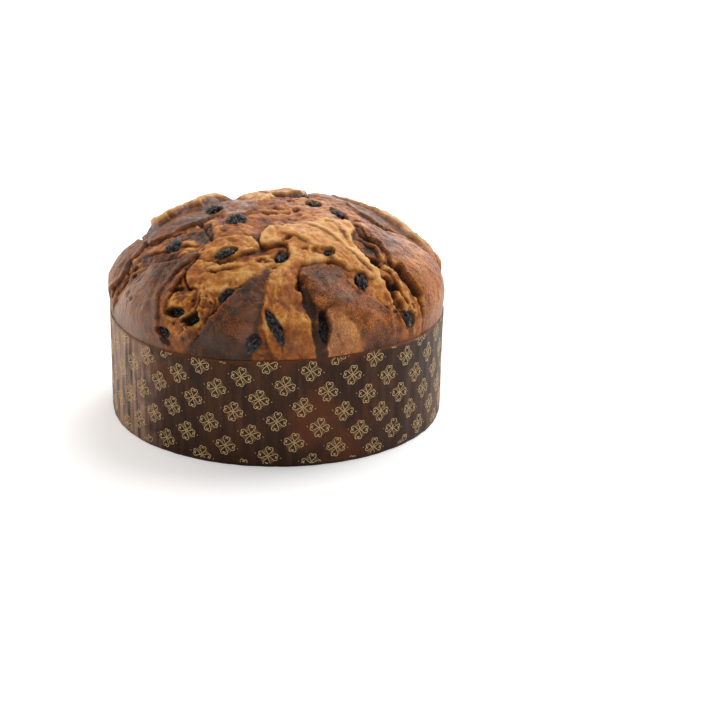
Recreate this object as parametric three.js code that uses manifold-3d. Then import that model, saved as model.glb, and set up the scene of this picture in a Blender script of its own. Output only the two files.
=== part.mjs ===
// A low panettone in its paper baking case, in millimetres, +Z up.
// The origin is the middle of the case's underside, and -Y is the front.
// The bread is one solid whose crust carries the petals of a star cut, the torn dough between them,
// grooves and pits. The raisins that show in the crust are solids of their own, each in its pocket.

import * as THREE from "three";
import { mergeVertices } from "three/addons/utils/BufferGeometryUtils.js";
import Module from "manifold-3d";

const wasm = await Module();
wasm.setup();

// Driving dimensions
const CASE_DIAMETER = 210;
const CASE_HEIGHT = 65;
const PAPER = 0.8; // thickness of the case's wall and floor
const GAP = 0.3; // clearance between neighbouring pieces
const DOME_RISE = 61.5; // from the rim to the bare dome's top, below its relief

// Derived sizes
const BREAD_RADIUS = CASE_DIAMETER / 2 - PAPER - GAP;
const BREAD_FLOOR = PAPER + GAP;
const HUNDREDTH = 1.34; // arc length of a hundredth of the way from the dome's top to its rim

// Mesh fineness
const DOME_RINGS = 32;
const SIDE_STEPS = 2;
const CASE_SEGMENTS = 96;
const OUTLINE_STEPS = 4; // straight pieces between two points of an outline or a groove
const OVAL_POINTS = 8;
const BEYOND_RIM = 108; // how far out a petal's outline runs, so that only its sides show
const NARROWEST_GROOVE = 8; // the crust's mesh can't hold a narrower one

// Colours
const CRUST_BROWN = 0x8a5a38;
const RAISIN_BLACK = 0x2a201c;
const PAPER_BROWN = 0x3e2a1e;

// Places on the crust are [across, away] in hundredths of the way from the dome's top to the rim:
// across runs to the right and away runs to the back. Heights and widths are in millimetres.

// Folds of torn dough and petals of smooth crust. A later one lies over an earlier one. Level is its
// height over the bare dome, lip what its edge stands up by, and swell what its middle rises by.
// A fold is an oval: its middle, half length and half width in hundredths, and its turn from across in degrees.
// A petal is a wedge: its tip, the tip's width, the degrees of the rim it spans, and what its two sides bow by.
const TORN = { level: 1, lip: 0.6, swell: 1 };
const SMOOTH = { level: 2.8, lip: 0.8, swell: 1.6 };
const PLATES = {
  torn_back: { ...TORN, at: [4, 6], half: [28, 22], turn: 15 },
  torn_left: { ...TORN, level: 0.5, at: [-43, -25], half: [17, 10], turn: -12 },
  torn_low: { ...TORN, level: -0.5, lip: 0, at: [-42, -67], half: [22, 13], turn: 60 },
  strip: { ...TORN, level: 2, lip: 0, swell: 2, at: [6, -76], half: [30, 9], turn: -80 },
  upper_fold: { ...TORN, level: 2, at: [-19, -36], half: [16, 6], turn: 6 },
  lower_fold: { ...TORN, at: [-18, -51], half: [19, 7], turn: 5 },
  side_fold: { ...TORN, level: 2, at: [-16, -25], half: [10, 5], turn: -15 },
  heart: { ...TORN, level: 2.8, swell: 2, at: [13, -31], half: [22, 13], turn: -42 },
  heart_ridge: { ...TORN, level: 2.6, at: [34, -44], half: [14, 5], turn: -32 },
  right_fold: { ...TORN, level: 0.5, at: [62, -57], half: [25, 7], turn: -42 },
  back_knob: { ...TORN, level: 5.6, at: [4, 28], half: [14, 10], turn: 0 },
  far_left_petal: { ...SMOOTH, tip: [-63, -5], width: 12, rim: [191, 158], bow: [1, 2] },
  back_left_petal: { ...SMOOTH, tip: [-43, -8], width: 27, rim: [142, 116], bow: [0, 2] },
  left_petal: { ...SMOOTH, swell: 2, tip: [-31, -39], width: 4, rim: [226, 201], bow: [0, 4] },
  front_petal: { ...SMOOTH, lip: 1.2, tip: [-4, -52], width: 4, rim: [262, 241], bow: [4, 4] },
  pale_lobe: { ...TORN, level: 1.5, at: [33, -86], half: [20, 9], turn: -55 },
  front_right_petal: { ...SMOOTH, tip: [18, -46], width: 11, rim: [314, 289], bow: [3, 4] },
  right_petal: { ...SMOOTH, swell: 2.4, tip: [37, -19], width: 29, rim: [361, 325], bow: [2, 2] },
  back_right_petal: { ...SMOOTH, tip: [35, 25], width: 16, rim: [410, 366], bow: [4, 2] },
  back_petal: { ...SMOOTH, tip: [6, 36], width: 24, rim: [468, 428], bow: [4, 4] },
  back_left_rim: { ...TORN, level: 6, at: [-44, 31], half: [16, 10], turn: -12 },
  back_right_rim: { ...TORN, level: 6, at: [44, 29], half: [20, 10], turn: -12 },
};

// Gaps and cracks between them: a line along each, its width and depth
const GROOVES = {
  front_valley: { width: 7, depth: 4, line: [[9, -57], [12, -66], [16, -76], [21, -86], [25, -94]] },
  heart_gap: { width: 5, depth: 4.5, line: [[28, -24], [31, -31], [35, -38], [40, -43]] },
  right_gap: { width: 3.5, depth: 4, line: [[47, -35], [55, -39], [64, -44]] },
  right_valley: { width: 7, depth: 3, line: [[44, -46], [56, -52], [70, -61], [82, -70]] },
  front_petal_undercut: { width: 3, depth: 2.5, line: [[-12, -57], [-22, -64], [-32, -74], [-43, -84], [-50, -92]] },
  left_petal_undercut: { width: 3, depth: 2, line: [[-42, -47], [-51, -55], [-57, -64], [-62, -74]] },
  left_valley: { width: 7, depth: 3, line: [[-97, -27], [-82, -24], [-68, -18], [-58, -20]] },
  back_left_undercut: { width: 3.5, depth: 3, line: [[-57, -3], [-50, -13], [-40, -16], [-31, -12], [-28, -3]] },
  side_fold_crack: { width: 2.5, depth: 2.5, line: [[-29, -8], [-27, -18], [-24, -26], [-23, -31]] },
  fold_crease: { width: 2.5, depth: 1.8, line: [[-33, -43], [-20, -44], [-8, -41]] },
  lower_fold_crack: { width: 2, depth: 2.5, line: [[-37, -44], [-37, -50], [-36, -57]] },
  right_crack: { width: 3, depth: 3.5, line: [[36, 12], [50, 9], [64, 6], [78, 4], [92, 0], [100, -4]] },
  back_right_valley: { width: 8, depth: 4, line: [[20, 26], [30, 46], [42, 68], [52, 88]] },
  back_left_valley: { width: 8, depth: 4, line: [[-18, 26], [-27, 48], [-40, 70], [-48, 90]] },
  far_left_valley: { width: 6, depth: 3, line: [[-62, 22], [-74, 48], [-82, 62]] },
};

// Burst bubbles: the middle, half length and half width in millimetres, turn from across in degrees, depth
const PITS = [
  { at: [-66, -16], size: [8, 5], turn: 70, depth: 7 },
  { at: [-83, -20], size: [5, 3], turn: 10, depth: 4 },
  { at: [-57, -71], size: [4, 2.5], turn: -50, depth: 4 },
  { at: [-46, -63], size: [9, 6.5], turn: -35, depth: 3.5 },
  { at: [-39, -71], size: [9, 5], turn: 8, depth: 3.5 },
  { at: [22, -80], size: [14, 5.5], turn: -68, depth: 4 },
  { at: [2, -43], size: [8, 6], turn: 75, depth: 2.5 },
  { at: [38, -37], size: [5, 4], turn: 40, depth: 5 },
  { at: [48, -47], size: [6, 3], turn: -30, depth: 3.5 },
  { at: [9, -60], size: [5, 3], turn: 70, depth: 3 },
  { at: [-41, -53], size: [6, 3], turn: 0, depth: 2.5 },
  { at: [16, -39], size: [6, 5], turn: 20, depth: 2 },
];

// Raisins: the middle, length, width and thickness, turn from across in degrees, and how deep the middle sits
const RAISINS = [
  { at: [-15, -16], size: [12, 9, 7], turn: -60, sink: 0.5 },
  { at: [-40, -25], size: [12, 9, 6], turn: 60, sink: 0.6 },
  { at: [-19, -41], size: [13, 7, 6], turn: 25, sink: 0.6 },
  { at: [-21, -62], size: [11, 6, 5], turn: 40, sink: 0.6 },
  { at: [2, -43], size: [12, 8, 7], turn: 75, sink: 0.4 },
  { at: [20, -40], size: [8, 6, 5], turn: 60, sink: 0.8 },
  { at: [-1, -81], size: [20, 6, 6], turn: -66, sink: 1.2 },
  { at: [-11, -89], size: [11, 7, 5], turn: 65, sink: 1.6 },
  { at: [22, -80], size: [20, 7, 6], turn: -68, sink: 1.2 },
  { at: [-46, -63], size: [12, 8, 6], turn: -35, sink: 1.2 },
  { at: [-38, -71], size: [11, 6, 5], turn: 5, sink: 1.4 },
  { at: [-57, -71], size: [12, 7, 6], turn: -50, sink: 1.8 },
  { at: [-24, 4], size: [13, 9, 7], turn: -70, sink: 0.3 },
  { at: [14, 4], size: [10, 8, 6], turn: 80, sink: 0.8 },
  { at: [23, -4], size: [12, 6, 5], turn: -70, sink: 0.8 },
  { at: [35, -53], size: [12, 7, 6], turn: -75, sink: 0.6 },
  { at: [66, -58], size: [13, 9, 6], turn: -35, sink: 1.4 },
  { at: [30, 48], size: [13, 9, 6], turn: 60, sink: 0.6 },
  { at: [46, 74], size: [12, 8, 6], turn: 20, sink: 1.4 },
  { at: [-28, 46], size: [14, 9, 6], turn: -50, sink: 0.5 },
  { at: [-40, 76], size: [12, 8, 6], turn: 30, sink: 1.4 },
  { at: [-70, 48], size: [12, 9, 6], turn: 80, sink: 1.4 },
  { at: [10, 14], size: [10, 7, 5], turn: 15, sink: 0.8 },
  { at: [54, 40], size: [12, 8, 6], turn: -20, sink: 1.2 },
  { at: [2, 70], size: [12, 9, 6], turn: 45, sink: 0.9 },
];
const RAISIN_WRINKLE = 0.06; // share of a raisin's size that its wrinkles move its skin by

// Curves through places
function between(a, b, c, d, t) {
  const along = (i) => {
    const bend = 2 * a[i] - 5 * b[i] + 4 * c[i] - d[i];
    const twist = 3 * (b[i] - c[i]) + d[i] - a[i];
    return b[i] + 0.5 * t * (c[i] - a[i] + t * (bend + t * twist));
  };
  return [along(0), along(1)];
}

function smoothLine(points, closed) {
  const count = points.length;
  const pick = (i) => (closed ? points[(i + count) % count] : points[Math.min(Math.max(i, 0), count - 1)]);
  const line = [];
  for (let i = 0; i < (closed ? count : count - 1); i++)
    for (let k = 0; k < OUTLINE_STEPS; k++)
      line.push(between(pick(i - 1), pick(i), pick(i + 1), pick(i + 2), k / OUTLINE_STEPS));
  line.push(closed ? line[0] : points[count - 1]);
  return line;
}

function foldOutline({ at, half, turn }) {
  const [cos, sin] = [Math.cos(THREE.MathUtils.degToRad(turn)), Math.sin(THREE.MathUtils.degToRad(turn))];
  return Array.from({ length: OVAL_POINTS }, (_, i) => {
    const angle = (2 * Math.PI * i) / OVAL_POINTS;
    const [along, across] = [half[0] * Math.cos(angle), half[1] * Math.sin(angle)];
    return [at[0] + along * cos - across * sin, at[1] + along * sin + across * cos];
  });
}

// From the tip down one side, round beyond the rim and back up the other side
function petalOutline({ tip, width, rim, bow }) {
  const onRim = (t) => {
    const round = THREE.MathUtils.degToRad(THREE.MathUtils.lerp(rim[0], rim[1], t));
    return [BEYOND_RIM * Math.cos(round), BEYOND_RIM * Math.sin(round)];
  };
  const ahead = [onRim(0.5)[0] - tip[0], onRim(0.5)[1] - tip[1]];
  const reach = Math.hypot(...ahead);
  const left = [-ahead[1] / reach, ahead[0] / reach];
  const side = (t, way, out) => {
    const start = [0, 1].map((i) => tip[i] + (way * left[i] * width) / 2);
    const end = onRim(way > 0 ? 0 : 1);
    return [0, 1].map((i) => THREE.MathUtils.lerp(start[i], end[i], t) + way * left[i] * out);
  };
  const blunt = [0, 1].map((i) => tip[i] - (0.2 * width * ahead[i]) / reach);
  const down = [side(0, 1, 0), side(0.33, 1, 0.9 * bow[0]), side(0.66, 1, bow[0])];
  const up = [side(0.66, -1, bow[1]), side(0.33, -1, 0.9 * bow[1]), side(0, -1, 0)];
  return [blunt, ...down, onRim(0), onRim(0.33), onRim(0.66), onRim(1), ...up];
}

function distanceToLine(place, line) {
  let nearest = Infinity;
  for (let i = 1; i < line.length; i++) {
    const [ax, ay] = line[i - 1];
    const [dx, dy] = [line[i][0] - ax, line[i][1] - ay];
    const length = dx * dx + dy * dy || 1;
    const t = Math.min(1, Math.max(0, ((place[0] - ax) * dx + (place[1] - ay) * dy) / length));
    nearest = Math.min(nearest, Math.hypot(place[0] - ax - t * dx, place[1] - ay - t * dy));
  }
  return nearest * HUNDREDTH;
}

function isInside(place, outline) {
  let inside = false;
  for (let i = 1; i < outline.length; i++) {
    const [a, b] = [outline[i - 1], outline[i]];
    const straddles = a[1] > place[1] !== b[1] > place[1];
    if (straddles && place[0] < a[0] + ((b[0] - a[0]) * (place[1] - a[1])) / (b[1] - a[1])) inside = !inside;
  }
  return inside;
}

// The crust's height over the bare dome
const EDGE = 3.2; // half width of the slope at a plate's edge
const LIP_REACH = 5;
const SWELL_REACH = 16;
const RIM_FADE = [78, 99]; // the relief dies out between these places, above the paper that holds the side
const SHOULDER = 1.2; // the crust's roll just over the paper's rim

const outlineOf = (plate) => smoothLine(plate.rim ? petalOutline(plate) : foldOutline(plate), true);
const plates = Object.values(PLATES).map((plate) => ({ ...plate, outline: outlineOf(plate) }));
const grooves = Object.values(GROOVES).map((groove) => ({ ...groove, line: smoothLine(groove.line, false) }));

const ease = (low, high, x) => THREE.MathUtils.smoothstep(x, low, high);

function unevenness([x, y]) {
  return (
    0.9 * Math.sin(0.071 * x + 0.6) * Math.cos(0.083 * y - 0.4) +
    0.5 * Math.sin(0.17 * x - 0.11 * y + 1.9) +
    0.3 * Math.cos(0.13 * x + 0.24 * y)
  );
}

function plateHeight(plate, inside) {
  const depth = Math.max(inside, 0);
  return plate.level + plate.lip * Math.exp(-depth / LIP_REACH) + plate.swell * (1 - Math.exp(-depth / SWELL_REACH));
}

function pitDepth(pit, place) {
  const turn = THREE.MathUtils.degToRad(pit.turn);
  const [x, y] = [0, 1].map((i) => (place[i] - pit.at[i]) * HUNDREDTH);
  const along = (x * Math.cos(turn) + y * Math.sin(turn)) / pit.size[0];
  const across = (y * Math.cos(turn) - x * Math.sin(turn)) / pit.size[1];
  return pit.depth * (1 - ease(0.5, 1.3, Math.hypot(along, across)));
}

function relief(place) {
  let height = 0;
  for (const plate of plates) {
    const away = distanceToLine(place, plate.outline);
    const inside = isInside(place, plate.outline) ? away : -away;
    height += ease(-EDGE, EDGE, inside) * (plateHeight(plate, inside) - height);
  }
  for (const groove of grooves) {
    const half = Math.max(groove.width, NARROWEST_GROOVE) / 2;
    height -= groove.depth * (1 - ease(0.3, 1.4, distanceToLine(place, groove.line) / half));
  }
  for (const pit of PITS) height -= pitDepth(pit, place);
  const out = Math.hypot(...place);
  const shoulder = SHOULDER * ease(60, 80, out);
  return (height + unevenness(place) + shoulder) * (1 - ease(...RIM_FADE, out));
}

// Points and directions on the dome
function onBareDome(place) {
  const fall = (Math.hypot(...place) / 100) * (Math.PI / 2);
  const round = Math.atan2(place[1], place[0]);
  const reach = BREAD_RADIUS * Math.sin(fall);
  return new THREE.Vector3(reach * Math.cos(round), reach * Math.sin(round), CASE_HEIGHT + DOME_RISE * Math.cos(fall));
}

function outward(point) {
  const lift = (point.z - CASE_HEIGHT) / DOME_RISE ** 2;
  return new THREE.Vector3(point.x / BREAD_RADIUS ** 2, point.y / BREAD_RADIUS ** 2, lift).normalize();
}

function onCrust(place, over = 0) {
  const point = onBareDome(place);
  return point.addScaledVector(outward(point), relief(place) + over);
}

// Solids
function solidFrom(geometry) {
  const plain = geometry.clone();
  plain.deleteAttribute("normal");
  plain.deleteAttribute("uv");
  const merged = mergeVertices(plain, 1e-4);
  const triVerts = new Uint32Array(merged.index.array);
  return new wasm.Manifold(new wasm.Mesh({ numProp: 3, vertProperties: merged.attributes.position.array, triVerts }));
}

function geometryFrom(solid) {
  const { vertProperties, triVerts } = solid.getMesh();
  const geometry = new THREE.BufferGeometry();
  geometry.setAttribute("position", new THREE.BufferAttribute(vertProperties, 3));
  geometry.setIndex(new THREE.BufferAttribute(triVerts, 1));
  geometry.computeVertexNormals();
  return geometry;
}

// Bread: rings of 6, 12, 18 ... points over the dome, then the straight side and the floor
function breadGeometry() {
  const points = [onCrust([0, 0])];
  const faces = [];
  const firstOf = (ring) => (ring ? 1 + 3 * ring * (ring - 1) : 0);
  const onRing = (ring, k) => firstOf(ring) + (ring ? k % (6 * ring) : 0);
  for (let ring = 1; ring <= DOME_RINGS; ring++) {
    for (let k = 0; k < 6 * ring; k++) {
      const round = (2 * Math.PI * k) / (6 * ring);
      const out = (100 * ring) / DOME_RINGS;
      points.push(onCrust([out * Math.cos(round), out * Math.sin(round)]));
    }
    for (let sixth = 0; sixth < 6; sixth++)
      for (let k = 0; k < ring; k++) {
        const [outer, inner] = [sixth * ring + k, sixth * (ring - 1) + k];
        faces.push(onRing(ring, outer), onRing(ring, outer + 1), onRing(ring - 1, inner));
        if (k < ring - 1) faces.push(onRing(ring, outer + 1), onRing(ring - 1, inner + 1), onRing(ring - 1, inner));
      }
  }
  const around = 6 * DOME_RINGS;
  let above = firstOf(DOME_RINGS);
  for (let step = 1; step <= SIDE_STEPS; step++) {
    const below = points.length;
    const height = THREE.MathUtils.lerp(CASE_HEIGHT, BREAD_FLOOR, step / SIDE_STEPS);
    for (let k = 0; k < around; k++) {
      const round = (2 * Math.PI * k) / around;
      points.push(new THREE.Vector3(BREAD_RADIUS * Math.cos(round), BREAD_RADIUS * Math.sin(round), height));
      const next = (k + 1) % around;
      faces.push(above + k, below + k, below + next, above + k, below + next, above + next);
    }
    above = below;
  }
  const middle = points.length;
  points.push(new THREE.Vector3(0, 0, BREAD_FLOOR));
  for (let k = 0; k < around; k++) faces.push(middle, above + ((k + 1) % around), above + k);
  return new THREE.BufferGeometry().setFromPoints(points).setIndex(faces);
}

// Raisins: wrinkled ellipsoids, long axis along the crust
function raisinGeometry(raisin, clearance, detail) {
  const geometry = new THREE.IcosahedronGeometry(1, detail);
  const position = geometry.attributes.position;
  const point = new THREE.Vector3();
  const phase = raisin.at[0] + 0.7 * raisin.at[1];
  for (let i = 0; i < position.count; i++) {
    point.fromBufferAttribute(position, i);
    const wrinkle = Math.sin(7 * point.y + phase) + Math.cos(5 * point.x - 6 * point.z + phase);
    point.multiplyScalar(1 + RAISIN_WRINKLE * wrinkle);
    const length = point.length();
    const half = raisin.size.map((size) => size / 2);
    point.set(point.x * half[0], point.y * half[1], point.z * half[2]);
    point.addScaledVector(point.clone().normalize(), clearance * length);
    position.setXYZ(i, ...point);
  }
  return geometry;
}

// Where a raisin lies: z out of the crust and x along its turn
function raisinPlace(raisin) {
  const place = new THREE.Object3D();
  const up = outward(onBareDome(raisin.at));
  place.position.copy(onCrust(raisin.at, -raisin.sink));
  const turn = THREE.MathUtils.degToRad(raisin.turn);
  const ahead = [raisin.at[0] + Math.cos(turn), raisin.at[1] + Math.sin(turn)];
  const along = onBareDome(ahead).sub(onBareDome(raisin.at));
  const side = new THREE.Vector3().crossVectors(up, along).normalize();
  along.crossVectors(side, up).normalize();
  place.quaternion.setFromRotationMatrix(new THREE.Matrix4().makeBasis(along, side, up));
  place.updateMatrix();
  return place;
}

function pocketedBread() {
  let bread = solidFrom(breadGeometry());
  for (const raisin of RAISINS) {
    const tool = raisinGeometry(raisin, 2 * GAP, 1).applyMatrix4(raisinPlace(raisin).matrix);
    bread = bread.subtract(solidFrom(tool));
  }
  const pieces = bread.decompose().sort((a, b) => b.volume() - a.volume());
  return pieces[0];
}

// Paper case: a cup whose rim dips where the dough has pulled it, and stands up at the left.
// Each bend is where on the rim it is, how far round it reaches, in degrees, and how high it goes.
const RIM_BENDS = [
  { at: -130, reach: 26, rise: -2.4 },
  { at: 178, reach: 17, rise: 5 },
];
const RIM_WAVE = 0.4;

function rimHeight(round) {
  const degrees = THREE.MathUtils.radToDeg(round);
  let height = CASE_HEIGHT + RIM_WAVE * Math.sin(5 * round + 1) + 0.5 * RIM_WAVE * Math.sin(11 * round);
  for (const { at, reach, rise } of RIM_BENDS) {
    const away = THREE.MathUtils.euclideanModulo(degrees - at + 180, 360) - 180;
    height += rise * Math.exp(-((away / reach) ** 2));
  }
  return height;
}

function caseGeometry() {
  const outer = CASE_DIAMETER / 2;
  const inner = outer - PAPER;
  const profile = [[0, 0], [outer, 0], [outer, CASE_HEIGHT], [inner, CASE_HEIGHT], [inner, PAPER], [0, PAPER]];
  const geometry = new THREE.LatheGeometry(profile.map(([r, z]) => new THREE.Vector2(r, z)), CASE_SEGMENTS);
  geometry.rotateX(Math.PI / 2);
  const position = geometry.attributes.position;
  for (let i = 0; i < position.count; i++) {
    if (position.getZ(i) < CASE_HEIGHT / 2) continue;
    position.setZ(i, rimHeight(Math.atan2(position.getY(i), position.getX(i))));
  }
  return geometry;
}

// Assembly
function meshOf(name, geometry, material) {
  const mesh = new THREE.Mesh(geometry, material);
  mesh.name = name;
  return mesh;
}

const crust = new THREE.MeshStandardMaterial({ color: CRUST_BROWN, roughness: 0.75, metalness: 0 });
const driedFruit = new THREE.MeshStandardMaterial({ color: RAISIN_BLACK, roughness: 0.5, metalness: 0 });
const caseCard = new THREE.MeshStandardMaterial({ color: PAPER_BROWN, roughness: 0.35, metalness: 0 });

const panettone = new THREE.Group();
panettone.add(meshOf("bread", geometryFrom(pocketedBread()), crust));
panettone.add(meshOf("paper_case", geometryFrom(solidFrom(caseGeometry())), caseCard));
RAISINS.forEach((raisin, i) => {
  const mesh = meshOf(`raisin_${String(i + 1).padStart(2, "0")}`, raisinGeometry(raisin, 0, 1), driedFruit);
  const place = raisinPlace(raisin);
  mesh.position.copy(place.position);
  mesh.quaternion.copy(place.quaternion);
  panettone.add(mesh);
});

export default panettone;
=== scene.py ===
"""A low panettone in its glazed paper case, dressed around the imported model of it."""

import math

import bmesh
import bpy
import numpy as np
from bpy.props import FloatProperty, FloatVectorProperty, PointerProperty
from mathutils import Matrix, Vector, noise


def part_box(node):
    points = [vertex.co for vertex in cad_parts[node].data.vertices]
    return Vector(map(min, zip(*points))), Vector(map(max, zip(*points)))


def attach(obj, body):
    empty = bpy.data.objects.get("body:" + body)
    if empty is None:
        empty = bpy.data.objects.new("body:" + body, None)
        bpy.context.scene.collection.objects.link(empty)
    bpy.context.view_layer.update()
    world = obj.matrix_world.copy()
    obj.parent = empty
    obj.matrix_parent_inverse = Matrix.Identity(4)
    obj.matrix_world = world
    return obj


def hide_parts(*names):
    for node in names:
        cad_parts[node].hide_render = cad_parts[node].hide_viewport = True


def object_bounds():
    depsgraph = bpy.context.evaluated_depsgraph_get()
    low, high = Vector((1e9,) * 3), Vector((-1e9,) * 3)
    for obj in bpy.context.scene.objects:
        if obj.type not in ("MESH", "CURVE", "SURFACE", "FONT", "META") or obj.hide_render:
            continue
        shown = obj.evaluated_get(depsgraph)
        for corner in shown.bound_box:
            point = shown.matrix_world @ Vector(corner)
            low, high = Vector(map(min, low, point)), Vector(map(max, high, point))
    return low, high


bl_info = {
    "name": "Panettone",
    "version": (1, 0, 0),
    "blender": (4, 5, 0),
    "location": "3D View > Sidebar > Panettone",
    "description": "Builds a whole low panettone in a printed paper case",
    "category": "Add Mesh",
}

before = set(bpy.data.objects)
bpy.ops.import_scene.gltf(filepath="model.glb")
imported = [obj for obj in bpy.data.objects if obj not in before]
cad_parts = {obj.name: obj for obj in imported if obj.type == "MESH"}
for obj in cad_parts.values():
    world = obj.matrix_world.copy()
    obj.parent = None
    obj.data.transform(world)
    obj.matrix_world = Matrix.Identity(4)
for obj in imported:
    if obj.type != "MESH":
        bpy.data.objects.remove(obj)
CAD_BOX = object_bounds()
CASE_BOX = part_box("paper_case")
RAISIN_NODES = sorted(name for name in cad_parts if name.startswith("raisin_"))

MM = 0.001

# Shape of the bread, in millimetres, as in the part's source
CASE_RADIUS = (CASE_BOX[1][0] - CASE_BOX[0][0]) / 2 / MM
CASE_HEIGHT = 65.0
PAPER = 0.8
GAP = 0.3
BREAD_RADIUS = CASE_RADIUS - PAPER - GAP
BREAD_FLOOR = PAPER + GAP
DOME_RISE = 61.5
HUNDREDTH = 1.34
RIM_FADE = (78.0, 99.0)
SHOULDER = 1.2
SWELL_REACH = 16.0

# Places on the crust are (across, away) in hundredths of the way from the dome's top to its rim.
# Tone runs from 0, pale gold, to 1, nearly burnt. Painted sheen is the greyish highlight painted on smooth
# crust.

# Torn dough and smooth crust. In millimetres, level is the height over the bare dome, lip a raised edge,
# swell how much more the middle rises, edge half the width of the side, undercut the crease beside it
# and curl how far the edge leans out.
TORN = {
    "level": 1.0, "lip": 0.3, "swell": 1.0, "edge": 1.6, "undercut": 0.8, "curl": 0.6,
    "painted_sheen": 0.0, "torn": 1.0,
}
SMOOTH = {
    "level": 2.3, "lip": 0.7, "swell": 1.6, "edge": 0.7, "undercut": 1.4, "curl": 1.2,
    "painted_sheen": 0.3, "torn": 0.0,
}

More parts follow.
